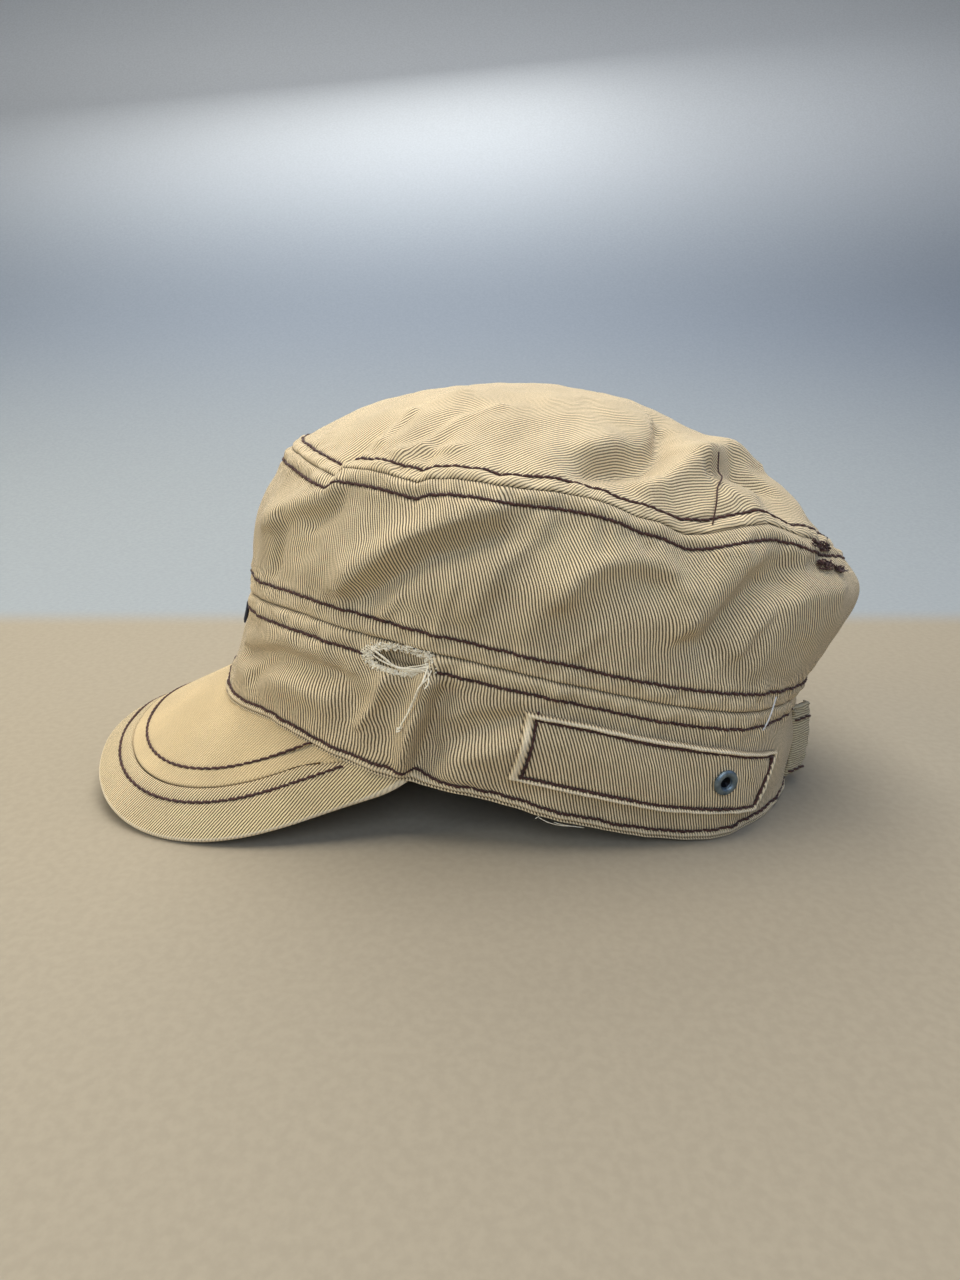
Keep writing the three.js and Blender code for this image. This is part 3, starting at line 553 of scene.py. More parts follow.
source_panel = np.concatenate([source_row(*row) for row in SOURCE_ROWS])
panel_low, panel_high = (np.array(corner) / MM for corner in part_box("side_panel"))
SHIFT = (panel_low + panel_high) / 2 - (source_panel.min(0) + source_panel.max(0)) / 2


CLOTH_SCALE = 10  # cloth coordinates are kept in units of 100 mm


def to_frame(points):
    """Places in the frame, in metres, from the cap's own coordinates."""
    return (np.asarray(points, float) + SHIFT) * MM


def placed(name, data):
    """A new object in the scene."""
    item = bpy.data.objects.new(name, data)
    bpy.context.scene.collection.objects.link(item)
    return item


def make_mesh(name, points, faces, corners=None, shade=None, slot=None, material=None):
    """A smooth mesh object in the frame, from mm. corners are the faces' cloth places, mm."""
    faces = np.asarray(faces)
    points = np.asarray(points, float)
    a, b, c, d = (points[faces[:, k]] for k in range(4))
    volume = np.einsum("ij,ij->", a, np.cross(b, c) + np.cross(c, d))
    if volume < 0:  # the faces point inwards
        faces = faces[:, ::-1]
        corners = None if corners is None else corners[:, ::-1]
    mesh = bpy.data.meshes.new(name)
    mesh.from_pydata(to_frame(points).tolist(), [], faces.tolist())
    if corners is not None:
        layer = mesh.uv_layers.new(name="cloth")
        cloth = np.asarray(corners) * MM * CLOTH_SCALE
        layer.data.foreach_set("uv", cloth.reshape(-1).astype(np.float32))
    # The shade attribute is painted light for the materials: painted shade below 0, painted highlight above
    # 0, and also rubbed wear at the peak's edge.
    if shade is not None:
        values = mesh.attributes.new("shade", "FLOAT", "POINT")
        values.data.foreach_set("value", np.asarray(shade, np.float32).reshape(-1))
    mesh.shade_smooth()
    mesh.materials.append(material)
    piece = placed(name, mesh)
    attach(piece, "root")
    return piece


def grid_faces(rows, columns, close_rows, close_columns, skip=()):
    """Quads of a grid of points stored row by row."""
    last_row = rows if close_rows else rows - 1
    last_column = columns if close_columns else columns - 1
    i, j = np.meshgrid(np.arange(last_row), np.arange(last_column), indexing="ij")
    keep = ~np.isin(i, skip)
    i, j = i[keep], j[keep]
    up, on = (i + 1) % rows, (j + 1) % columns
    return np.stack([i * columns + j, i * columns + on, up * columns + on, up * columns + j], -1), i, j


def sheet_faces(rows, columns):
    """Quads round a closed sheet of rows of points, with its two ends capped."""
    faces, _, _ = grid_faces(rows, columns, False, True)
    caps = []
    for row, turn in ((0, False), (rows - 1, True)):
        first, last = row * columns, row * columns + columns - 1
        for k in range(columns // 2 - 1):
            quad = [first + k, last - k, last - 1 - k, first + k + 1]
            caps.append(quad[::-1] if turn else quad)
    return np.concatenate([faces, np.array(caps)])


def make_sheet(name, node, upper, lower, slot, material, cloth=None, turn_over=0.0, shades=None):
    """A closed sheet between two sides, in the place of a node of the source.

    cloth holds the upper side's cloth places, and turn_over is how far the lower side's
    lie from them. shades holds the shade of both sides.
    """
    points = np.concatenate([upper, lower[:, ::-1]], axis=1)
    faces = sheet_faces(*points.shape[:2])
    corners = None
    if cloth is not None:
        places = np.concatenate([cloth, cloth[:, ::-1] + (0, turn_over)], axis=1)
        corners = places.reshape(-1, 2)[faces]
    if shades is not None:
        shades = np.concatenate([shades[0], shades[1][:, ::-1]], axis=1)
    piece = make_mesh(name, points.reshape(-1, 3), faces, corners, shades, slot, material)
    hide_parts(node)


def ring_corners(i, j, along, up, columns):
    """Cloth places of a ring's quads: along holds one value more than the columns."""
    above = (i + 1) % len(up)
    corners = ((i, j), (i, j + 1), (above, j + 1), (above, j))
    places = [(along[row, column], up[row, column % columns]) for row, column in corners]
    return np.stack([np.stack(place, -1) for place in places], 1)


def arc(points):
    """Distance along rows of points, from the first."""
    steps = np.linalg.norm(np.diff(points, axis=0), axis=-1)
    return np.concatenate([np.zeros((1,) + steps.shape[1:]), np.cumsum(steps, axis=0)])


round_band = plain(np.append(STATIONS, 360), SEAM_LEVEL)
AROUND = arc(round_band)  # mm round the band seam at each column
EVENED = math.radians(16)  # turn over which the rows' own lengths are evened out


def cloth_along(points):
    """Cloth places round each row: true to the row's length in its folds, aligned beyond them."""
    steps = np.linalg.norm(np.roll(points, -1, axis=1) - points, axis=-1)
    run = np.concatenate([np.zeros((len(points), 1)), np.cumsum(steps, axis=1)], axis=1)
    extra = (run - AROUND * run[:, -1:] / AROUND[-1])[:, :-1]
    turns = np.fft.rfftfreq(COLUMNS, 1 / COLUMNS)
    keep = 1 - np.exp(-((turns * EVENED) ** 2) / 2)
    fine = np.fft.irfft(np.fft.rfft(extra, axis=1) * keep, COLUMNS, axis=1)
    return AROUND + np.concatenate([fine, fine[:, :1]], axis=1)


def drop_repeats(piece):
    """Welds points that share a place, such as a dome's apex."""
    work = bmesh.new()
    work.from_mesh(piece.data)
    bmesh.ops.remove_doubles(work, verts=work.verts, dist=1e-7)
    work.to_mesh(piece.data)
    work.free()
    piece.data.shade_smooth()


def circle(side, other, sides):
    """Directions round a circle, from one direction towards another."""
    angles = np.arange(sides)[:, None] * 2 * np.pi / sides
    return np.cos(angles) * side + np.sin(angles) * other


def tube(path, radius, sides=6):
    """Points and quads of a round thread along a path of points, closed at its ends."""
    tangent = unit(np.gradient(path, axis=0))
    guide = np.array([1.0, 0, 0]) if abs(tangent[0, 0]) < 0.8 else np.array([0, 0, 1.0])
    rings = []
    for point, forward in zip(path, tangent):
        side = unit(np.cross(forward, guide))
        guide = np.cross(side, forward)
        rings.append(point + radius * circle(side, guide, sides))
    points = np.concatenate([np.repeat(path[:1], sides, 0), *rings, np.repeat(path[-1:], sides, 0)])
    faces, _, _ = grid_faces(len(path) + 2, sides, False, True)
    return points, faces


def smooth_path(points, steps=6):
    """A smooth curve through points, by Catmull-Rom."""
    p = np.asarray(points, float)
    p = np.vstack([2 * p[0] - p[1], p, 2 * p[-1] - p[-2]])
    out = []
    for k in range(1, len(p) - 2):
        f = (np.arange(steps) / steps)[:, None]
        out.append(catmull(p[k - 1], p[k], p[k + 1], p[k + 2], f))
    out.append(p[-2:-1])
    return np.concatenate(out)


def strand(path, radius, steps=6, sides=6):
    """A round thread along a smooth curve through points."""
    return tube(smooth_path(path, steps), radius, sides)


def joined(parts):
    """One set of points and quads from several."""
    points, faces, start = [], [], 0
    for p, f in parts:
        points.append(p)
        faces.append(f + start)
        start += len(p)
    return np.concatenate(points), np.concatenate(faces)


# --------------------------------------------------------------------------- materials


def linear(red, green, blue):
    """A colour given as it looks on a screen, 0 to 255, in Blender's own linear values."""
    values = [v / 255 for v in (red, green, blue)]
    return [v / 12.92 if v <= 0.04045 else ((v + 0.055) / 1.055) ** 2.4 for v in values] + [1.0]


class Nodes:
    """A material's nodes, made and joined by short calls."""

    def __init__(self, name):
        self.material = bpy.data.materials.new(name)
        self.material.use_nodes = True
        self.tree = self.material.node_tree
        self.shader = self.tree.nodes["Principled BSDF"]

    def add(self, kind, *inputs, **settings):
        """A new node with its first inputs put in."""
        node = self.tree.nodes.new(kind)
        for key, value in settings.items():
            setattr(node, key, value)
        for socket, value in zip(node.inputs, inputs):
            self.put(socket, value)
        return node

    def put(self, socket, value):
        """Joins an input to a node's output, or sets it to a plain value."""
        if isinstance(value, bpy.types.NodeSocket):
            self.tree.links.new(value, socket)
        elif value is not None:
            socket.default_value = value

    def math(self, operation, *inputs):
        return self.add("ShaderNodeMath", *inputs, operation=operation).outputs[0]

    def sum(self, first, *others):
        for other in others:
            first = self.math("ADD", first, other)
        return first

    def times(self, value, gain, centre=0.0):
        """How far the value lies from a centre, times a gain."""
        if centre:
            value = self.math("SUBTRACT", value, centre)
        return self.math("MULTIPLY", value, gain)

    def grey(self, value):
        return self.add("ShaderNodeCombineColor", value, value, value).outputs[0]

    def noise(self, place, size, detail=3.0, roughness=0.55):
        """Noise from about 0 to 1 that varies over so many mm of the object."""
        node = self.add("ShaderNodeTexNoise")
        self.put(node.inputs["Vector"], place)
        node.inputs["Scale"].default_value = 1 / (size * MM)
        node.inputs["Detail"].default_value = detail
        node.inputs["Roughness"].default_value = roughness
        return node.outputs["Fac"]

    def mix(self, share, first, second, blend="MIX"):
        """Two colours blended by a share of the second."""
        node = self.add("ShaderNodeMix", data_type="RGBA", blend_type=blend)
        self.put(node.inputs["Factor"], share)
        self.put(node.inputs[6], first)
        self.put(node.inputs[7], second)
        return node.outputs[2]

    def between(self, value, low, high, to_low=0.0, to_high=1.0):
        """The value's smooth course from one output to another between two limits."""
        node = self.add("ShaderNodeMapRange", value, low, high, to_low, to_high)
        node.clamp = True
        node.interpolation_type = "SMOOTHSTEP"
        return node.outputs[0]

    def place(self):
        return self.add("ShaderNodeTexCoord").outputs["Object"]

    def bump(self, height, depth, strength=1.0):
        """A surface normal raised by height, from 0 to 1, times so many mm."""
        node = self.add("ShaderNodeBump")
        node.inputs["Strength"].default_value = strength
        node.inputs["Distance"].default_value = depth * MM
        self.put(node.inputs["Height"], height)
        return node.outputs["Normal"]

    def finish(self, color, roughness, normal=None, metallic=0.0, sheen=0.0):
        self.put(self.shader.inputs["Base Color"], color)
        self.put(self.shader.inputs["Roughness"], roughness)
        self.shader.inputs["Metallic"].default_value = metallic
        self.shader.inputs["Sheen Weight"].default_value = sheen
        if normal is not None:
            self.put(self.shader.inputs["Normal"], normal)
        return self.material


RIB_PITCH = 0.98  # mm between two ribs of the twill
THREAD_PITCH = 0.62  # mm between two threads that cross a rib
WORN_AND_HIGHLIGHT = (250, 238, 210)  # the pale colour of rubbed edges, also used to paint highlights on raised rolls and rims
FADED = (1.0, 0.95, 0.86, 1)  # what is left of the cloth's colour where it is washed out most
# Sizes of the cloth's unevenness, mm, and how far it moves a rib, in ribs.
DRIFT = {"size": 22, "gain": 0.75}
RAGGED = {"size": 1.6, "gain": 0.24}
FUZZ_SIZE, MOTTLE_SIZE, FADED_SIZE = 0.45, 24, 60
RIDGE = (0.06, 0.72)  # where a rib's wave rises from its groove and reaches its flat top
PALER = {"thread": 0.16, "fuzz": 0.5, "shade": 0.55}  # how far each brings the colour to the light one
RISE = {"ridge": 0.75, "thread": 0.14, "fuzz": 0.2}  # what each adds to the cloth's height
MOTTLE = (0.9, 1.06)


def twill(name, light, dark, rib_degrees, contrast=1.0, relief=0.32, wear=0.0):
    """Coarse washed twill. rib_degrees is the ribs' direction on the cloth, from along."""
    n = Nodes(name)
    place = n.place()
    cloth = n.add("ShaderNodeSeparateXYZ", n.add("ShaderNodeUVMap", uv_map="cloth").outputs[0])
    turn = math.radians(rib_degrees)

    def along(x, y, pitch):
        """How many pitches along a direction on the cloth."""
        whole = MM * CLOTH_SCALE * pitch
        return n.sum(n.times(cloth.outputs[0], x / whole), n.times(cloth.outputs[1], y / whole))

    def ripple(value):
        wave = n.math("COSINE", n.times(value, 2 * math.pi))
        return n.sum(n.times(wave, 0.5), 0.5)

    drift, ragged = (n.times(n.noise(place, each["size"], 2), each["gain"], 0.5) for each in (DRIFT, RAGGED))
    across = n.sum(along(-math.sin(turn), math.cos(turn), RIB_PITCH), drift, ragged)
    down = n.sum(along(math.cos(turn), math.sin(turn), THREAD_PITCH), n.times(across, 0.5))
    ridge = n.between(ripple(across), *RIDGE)
    thread = ripple(down)
    fuzz = n.noise(place, FUZZ_SIZE, 2)
    shade = n.add("ShaderNodeAttribute", attribute_name="shade").outputs["Fac"]

    share = n.sum(
        n.times(ridge, contrast, 1.0),
        1.0,
        n.times(thread, PALER["thread"] * contrast, 0.5),
        n.times(fuzz, PALER["fuzz"], 0.5),
        wear,
        n.times(shade, PALER["shade"]),
    )
    share.node.use_clamp = True
    # The ribs' dark grooves are partly the yarn's own colour and partly painted shade; the shade attribute
    # adds painted shade and painted highlight.
    color = n.mix(share, linear(*dark), linear(*light))
    # Rubbed wear at the peak's edge, and painted highlights on the raised rolls and rims, turn paler still.
    color = n.mix(n.between(shade, 0.25, 0.9, 0.0, 0.5), color, linear(*WORN_AND_HIGHLIGHT))
    faded = n.between(n.noise(place, FADED_SIZE, 3), 0.35, 0.7, 0.0, 0.35)
    color = n.mix(1.0, color, n.mix(faded, (1, 1, 1, 1), FADED), "MULTIPLY")
    tone = n.between(n.noise(place, MOTTLE_SIZE, 4), 0.25, 0.75, *MOTTLE)
    color = n.mix(1.0, color, n.grey(tone), "MULTIPLY")
    parts = {"ridge": ridge, "thread": thread, "fuzz": fuzz}
    height = n.sum(*(n.times(parts[key], gain) for key, gain in RISE.items()))
    rough = n.between(fuzz, 0.2, 0.8, 0.82, 0.97)
    return n.finish(color, rough, n.bump(height, relief), sheen=0.12)


def yarn(name, light, dark, twist=0.9, relief=0.08):
    """Sewing thread or loose yarn: a twisted strand with a soft, uneven colour."""
    n = Nodes(name)
    place = n.place()
    twisted = n.noise(place, twist, 2)
    fine = n.noise(place, 0.25, 2)
    share = n.between(n.sum(n.times(twisted, 0.6), n.times(fine, 0.4)), 0.35, 0.65)
    color = n.mix(share, linear(*dark), linear(*light))
    return n.finish(color, n.between(fine, 0.2, 0.8, 0.7, 0.9), n.bump(fine, relief), sheen=0.1)


def worn_metal(name):
    """The eyelet's dull blue-grey metal, scuffed on its rim, and painted near black in its hole as shade."""
    n = Nodes(name)
    place = n.place()
    shade = n.add("ShaderNodeAttribute", attribute_name="shade").outputs["Fac"]
    lit = n.between(shade, -1.0, 0.0)
    scuff = n.noise(place, 0.6, 4, 0.7)
    stain = n.noise(place, 2.5, 3)
    color = n.mix(n.between(stain, 0.3, 0.7), linear(84, 100, 110), linear(128, 142, 148))
    color = n.mix(lit, linear(10, 11, 14), color)
    rough = n.between(scuff, 0.3, 0.7, 0.3, 0.55)
    return n.finish(color, rough, n.bump(scuff, 0.05, 0.6), metallic=0.8)


def woven_patch(name):
    """The front patch's plain dark weave."""
    n = Nodes(name)
    place = n.place()
    weave = n.noise(place, 0.5, 3)
    color = n.mix(n.between(weave, 0.3, 0.7), linear(24, 26, 36), linear(50, 54, 66))
    return n.finish(color, 0.85, n.bump(weave, 0.1))


# Colours of the ribs' tops and grooves; the grooves' darkness is partly painted shade.
LIGHT, DARK = (244, 221, 177), (80, 66, 42)
SIDE_RIBS = 107  # the ribs lean from lower back to upper front
TWILL = twill("twill_wall", LIGHT, DARK, SIDE_RIBS)
TWILL_TOP = twill("twill_top", LIGHT, DARK, 120, contrast=0.85, relief=0.2)
TWILL_PEAK = twill("twill_peak", (236, 213, 166), (86, 70, 43), 58, wear=0.02)
TWILL_CENTRE = twill("twill_centre", (227, 202, 153), (131, 110, 74), 58, contrast=0.55)
TWILL_TAB = twill("twill_tab", LIGHT, DARK, 118)
TWILL_INSIDE = twill("twill_inside", (196, 174, 130), (120, 102, 70), 73, contrast=0.7)
TWILL_LOOP = twill("twill_loop", (206, 192, 156), (112, 100, 72), 90, contrast=0.8)
BROWN = yarn("brown_thread", (82, 46, 34), (42, 20, 15))
CREAM = yarn("cream_yarn", (255, 248, 226), (228, 214, 182))
WHITE = yarn("white_thread", (244, 242, 236), (214, 212, 206))
METAL = worn_metal("eyelet_metal")
NAVY = woven_patch("navy_patch")


# -------------------------------------------------------------------- crown and headband
TEAR = {
    "start": (57, 1.745),
    "end": (71.5, 1.85),
    "depth": 1.3,
    "width": 10.4,
    "height": 4.0,
    "power": 2.4,  # its rim is an oval, a little squarer than an ellipse
    "lift": 0.7,
    "reach": 12,  # mm off its plane
    "sunk": (0.75, 1.12),  # where the dent fades out, with the rim at 1
    # Painted shade on the sunken cloth inside the tear: where it fades out, and how dark it gets.
    "dark": (0.8, 1.05),
    "shade": -0.5,
}


def tear_frame():
    """The tear's middle on the cloth, and its directions along, up and out."""
    ends = np.array([TEAR["start"], TEAR["end"]])
    a, b = (skin(*end) for end in ends)
    middle = ends.mean(0)
    out = outward(*middle)
    along = unit(b - a - out * ((b - a) @ out))
    return skin(*middle, TEAR["lift"]), along, np.cross(out, along), out


TEAR_MIDDLE, TEAR_ALONG, TEAR_UP, TEAR_OUT = tear_frame()


def tear_places(points):
    """Where points lie in the tear's own plane: along it and up it, mm."""
    away = points - TEAR_MIDDLE
    return away @ TEAR_ALONG, away @ TEAR_UP


def near_tear(points):
    """True for points on the tear's side of the cap, close to its plane."""
    return (np.abs((points - TEAR_MIDDLE) @ TEAR_OUT) < TEAR["reach"]) & (points[..., 0] > 0)


def in_tear(points, start, end):
    """1 inside the tear, falling to 0 between two reaches from its middle; its rim is at 1."""
    x, y = tear_places(points)
    power = TEAR["power"]
    reach = (np.abs(x / TEAR["width"]) ** power + np.abs(y / TEAR["height"]) ** power) ** (1 / power)
    return (1 - smooth_step(reach, start, end)) * near_tear(points)


RIBS_AROUND = AROUND[-1] * math.sin(math.radians(SIDE_RIBS)) / RIB_PITCH
RIBS_CLOSE = round(RIBS_AROUND) / RIBS_AROUND  # stretch that lets the ribs meet at the front


def plan_places(points, slope):
    """The top panel's cloth places: its plan, spread by the length of its slope."""
    away = (points - APEX)[..., :2]
    flat = np.linalg.norm(away, axis=-1)
    return away * (slope / np.maximum(flat, 1e-6))[..., None]


def ring_piece(name, node, rows, inner_levels, material, along_offset=0.0, band=False, dome=False):
    """A panel of the crown or the headband: cloth outside, plain wall inside."""
    levels, lifts, puckers, shades = rows
    outer = cloth_points(levels, lifts, puckers)
    inner = wall_points(inner_levels)
    shades = np.broadcast_to(shades, outer.shape[:2])
    if band:
        # The headband is cut level at its hem, and sinks under the tear, where painted shade darkens it.
        outer[0, :, 2] = ring_point(LOOPS[0], STATIONS)[:, 2] - hem_sag(STATIONS, 0 * STATIONS)[:, 2]
        outer = outer - TEAR_OUT * (TEAR["depth"] * in_tear(outer, *TEAR["sunk"]))[..., None]
        shades = shades + TEAR["shade"] * in_tear(outer, *TEAR["dark"])
    points = np.concatenate([outer, inner[::-1]])
    points[..., 2] = np.maximum(points[..., 2], 0)
    shades = np.concatenate([shades, np.zeros(inner.shape[:2])])
    up = arc(points)
    faces, i, j = grid_faces(len(points), COLUMNS, True, True, (len(outer) - 1,) if dome else ())
    if dome:
        spread = plan_places(points, np.abs(up - up[len(outer) - 1]))
        corners = spread.reshape(-1, 2)[faces]
    else:
        corners = ring_corners(i, j, cloth_along(points) * RIBS_CLOSE + along_offset, up, COLUMNS)
    piece = make_mesh(name, points.reshape(-1, 3), faces, corners, shades, "khaki_twill", material)
    if dome:
        drop_repeats(piece)
    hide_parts(node)


def inner_rows(low, high, count):
    """Levels of a panel's plain inner rows, from a low row to a high one."""
    return low + (high - low) * np.linspace(0, 1, count)[:, None]


def seam_row(level, mm):
    """The level so many mm along the cloth from a seam, all round the cap."""
    return level_along(STATIONS, level, mm)


SEAM_GAP = 0.02  # mm on each side of a seam, where two panels' insides meet
ROWS = {"band": 40, "side": 54, "top": 60}  # steps between the two edges of a panel
INNER_ROWS = {"band": 14, "side": 18, "top": 20}
SIDE_START = 0.4  # mm along the cloth, so that the side panel's ribs don't run on from the band's

ring_piece(
    "band",
    "headband",
    cloth_rows((0, HEM_PROFILE), (SEAM_LEVEL, strip_rows(STRIP_WIDTH, -1)), ROWS["band"]),
    inner_rows(0 * STATIONS, seam_row(SEAM_LEVEL, -SEAM_GAP), INNER_ROWS["band"]),
    TWILL,
    band=True,
)
ring_piece(
    "crown_side",
    "side_panel",
    cloth_rows(
        (SEAM_LEVEL, strip_rows(STRIP_WIDTH, 1)),
        (CROWN_LEVEL, strip_rows(CROWN_LOW_STRIP, -1)),
        ROWS["side"],
    ),
    inner_rows(seam_row(SEAM_LEVEL, SEAM_GAP), seam_row(CROWN_LEVEL, -SEAM_GAP), INNER_ROWS["side"]),
    TWILL,
    along_offset=SIDE_START,
)


def top_rows():
    """Rows of the top panel from its seam to the apex."""
    rows = [(seam_row(CROWN_LEVEL, mm), *rest) for mm, *rest in strip_rows(CROWN_STRIP_WIDTH, 1)]
    last = rows[-1][0]
    for k in range(1, ROWS["top"] + 1):
        share = k / ROWS["top"]
        rows.append((last * (1 - share) + APEX_LEVEL * share, 0.0, 0.0, 0.0))
    return split_rows(rows)


ring_piece(
    "crown_top",
    "top_panel",
    top_rows(),
    inner_rows(seam_row(CROWN_LEVEL, SEAM_GAP), APEX_LEVEL + 0 * STATIONS, INNER_ROWS["top"]),
    TWILL_TOP,
    dome=True,
)


def sweatband():
    """The inner band, a thin ring whose folded lower edge shows just below the hem."""
    lift = -WALL - SWEATBAND["clearance"]
    floor = np.maximum(ring_point(LOOPS[0], STATIONS)[:, 2] - SWEATBAND["drop"], SWEATBAND["floor"])
    shares = np.linspace(0, SWEATBAND["top"], 9)[:, None] * np.ones(COLUMNS)
    outer, inner = (skin(STATIONS, shares, out) for out in (lift, lift - SWEATBAND["thickness"]))
    for rows in (outer, inner):
        rows[0, :, 2] = floor + SWEATBAND["fold"]
    middle = (outer[:1] + inner[:1]) / 2
    middle[0, :, 2] = floor
    points = np.concatenate([outer, inner[::-1], middle])
    faces, i, j = grid_faces(len(points), COLUMNS, True, True)
    corners = ring_corners(i, j, cloth_along(points), arc(points), COLUMNS)
    piece = make_mesh("inner_band", points.reshape(-1, 3), faces, corners, None, "inner_twill", TWILL_INSIDE)
    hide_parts("sweatband")


sweatband()

# ------------------------------------------------------------------------------ the peak


def sheet_point(u, w):
    """A point of the peak's curved sheet, from its place in the flat pattern."""
    radius = PEAK["radius"] + PEAK["radius_gain"] * w / 100
    fall = radius * (1 - np.cos(u / radius))
    slope, lean = math.radians(PEAK["slope"]), math.radians(PEAK["lean"])
    x = radius * np.sin(u / radius)
    y = PEAK["root_y"] - w * math.cos(slope) - fall * math.sin(lean)
    z = PEAK["root_z"] - w * math.sin(slope) - fall * math.cos(lean)
    return np.stack([x, y, z], -1)


def sheet_normal(u, w):
    """Upward direction of the sheet."""
    across = sheet_point(u + 0.5, w) - sheet_point(u - 0.5, w)
    forward = sheet_point(u, w + 0.5) - sheet_point(u, w - 0.5)
    return unit(np.cross(forward, across))


def sheet_top(u, w):
    """A point of the peak's plain upper side."""
    return sheet_point(u, w) + sheet_normal(u, w) * PEAK["above"]


ROOT_SEARCH = {"start": -80, "steps": 30, "share": 0.9}  # how the root's places are closed in on


def peak_root(stations):
    """The root's place in the flat pattern at each station, and how far it is lifted."""
    hem = ring_point(LOOPS[0], stations)
    out = outward(stations, np.zeros(len(stations)))
    out[:, 2] = 0
    target = hem - PEAK["tuck"] * unit(out)
    u, w = target[:, 0].copy(), ROOT_SEARCH["start"] - target[:, 1]
    for _ in range(ROOT_SEARCH["steps"]):
        miss = target - sheet_top(u, w)
        u += miss[:, 0] * ROOT_SEARCH["share"]
        w -= miss[:, 1] * ROOT_SEARCH["share"]
    rise = hem[:, 2] - PEAK["joint_gap"] - sheet_top(u, w)[:, 2]
    return np.stack([u, w], -1), rise


def peak_outline(stations, at_tip, at_side):
    """The flat pattern's outline, drawn in by so much at the tip and at the sides."""
    angle = np.radians(PEAK["sweep"] * stations / PEAK["sweep_station"])

    def bent(value):
        return np.sign(value) * np.abs(value) ** (2 / PEAK["roundness"])

    across = (PEAK["half_width"] - at_side) * bent(np.sin(angle))
    return np.stack([across, (PEAK["length"] - at_tip) * bent(np.cos(angle))], -1)


PEAK_LINES = [(8.8, 13.6), (20.2, 25.6)]  # two dark stitch lines: mm in at the tip and at the sides
VALLEY = {"depth": 0.3, "width": 0.7, "swell": 0.1, "swell_width": 2.6}  # cloth beside a line, mm
LINE_RADIUS = (75, 55)  # mm that a whole reach is worth, at the tip and at the sides
VALLEY_SHADE = 1.3  # painted shade along the stitch valleys, for each mm of a valley's depth
EDGE = {"round": 1.15, "least": 0.04, "shade": 0.75, "worn": (0.5, 1.5)}  # the rounded, worn edge


def peak_relief(place):
    """Low relief of the peak's cloth: valleys along its stitch lines."""
    depth = np.zeros(place.shape[:-1])
    tip, side = LINE_RADIUS
    radius = tip + (side - tip) * np.abs(place[..., 0]) / PEAK["half_width"]
    power = PEAK["roundness"]
    for at_tip, at_side in [*PEAK_LINES, (PEAK["seam_tip"], PEAK["seam_side"])]:
        x = np.abs(place[..., 0]) / (PEAK["half_width"] - at_side)
        y = np.maximum(place[..., 1], 0) / (PEAK["length"] - at_tip)
        away = ((x**power + y**power) ** (1 / power) - 1) * radius
        depth = depth - VALLEY["depth"] * np.exp(-((away / VALLEY["width"]) ** 2))
        depth = depth + VALLEY["swell"] * np.exp(-((away / VALLEY["swell_width"]) ** 2))
    return depth


def peak_surface(place, root, rise):
    """A point over the flat pattern, with its direction down through the sheet."""
    u, w = place[..., 0], place[..., 1]
    near = np.exp(-((np.linalg.norm(place - root, axis=-1) / PEAK["settle"]) ** 2))
    point = sheet_top(u, w)
    point[..., 2] += rise * near
    near = near[..., None]
    return point, unit(sheet_normal(u, w) * (1 - near) + np.array([0, 0, 1.0]) * near)


def peak_piece(name, node, stations, start, end, shares, edge, material):
    """Part of the peak between two outlines of its flat pattern."""
    roots, rises = peak_root(stations)
    shares = np.asarray(shares)[None, :, None]
    place = start[:, None] * (1 - shares) + end[:, None] * shares
    far = np.linalg.norm(end - start, axis=-1)[:, None] * (1 - shares[..., 0])
    valleys = peak_relief(place)
    shade = VALLEY_SHADE * np.minimum(valleys, 0)
    round_off = np.ones(far.shape)
    if edge:
        inward = np.clip(far / EDGE["round"], 0, 1)
        bend = np.sqrt(np.maximum(1 - (1 - inward) ** 2, 0.0))
        round_off = bend * (1 - EDGE["least"]) + EDGE["least"]
        shade = shade + EDGE["shade"] * (1 - smooth_step(far, *EDGE["worn"]))
    half = (PEAK["above"] + PEAK["below"]) / 2
    soft = uneven(sheet_point(place[..., 0], place[..., 1]), PEAK_WAVES)
    base, down = peak_surface(place, roots[:, None], rises[:, None])
    upper = base + down * ((round_off - 1) * half + (valleys + soft) * (round_off > 0.5))[..., None]
    lower = base - down * (half + round_off * half)[..., None]
    lower[..., 2] = np.maximum(lower[..., 2], 0)
    upper[..., 2] = np.maximum(upper[..., 2], 0.05)
    make_sheet(
        name, node, upper, lower, "khaki_twill", material,
        cloth=place, turn_over=1.5, shades=(shade, shade),
    )


CENTRE = np.linspace(-PEAK["centre_station"], PEAK["centre_station"], 171)
seam_in = (PEAK["seam_tip"], PEAK["seam_side"])
CENTRE_SHARES = np.linspace(0, 1, 56) ** 0.85  # closer near the border's seam
peak_piece(
    "peak_middle",
    "peak_centre",
    CENTRE,
    peak_root(CENTRE)[0],
    peak_outline(CENTRE, *(mm + PEAK["seam_gap"] for mm in seam_in)),
    CENTRE_SHARES,
    False,
    TWILL_CENTRE,
)
CORNER_START = 1.3  # stations past the centre piece where the border's corners start
CORNER_END = 70.2  # the station where the peak's edge runs out under the hem
corner = np.linspace(PEAK["centre_station"] + CORNER_START, CORNER_END, 16)
border = np.concatenate([-corner[::-1], CENTRE, corner])
border_start = peak_outline(border, *seam_in)
outside = np.abs(border) > PEAK["centre_station"]
border_start[outside] = peak_root(border)[0][outside]
# Rows grow closer towards the rounded edge.
edge_shares = [0.925, 0.945, 0.96, 0.972, 0.982, 0.99, 0.996, 1.0]
peak_piece(
    "peak_edge",
    "peak_border",
    border,
    border_start,
    peak_outline(border, 0, 0),
    np.concatenate([np.linspace(0, 0.9, 22), edge_shares]),
    True,
    TWILL_PEAK,
)


# ----------------------------------------------------------------- tab, eyelet, loop, patch


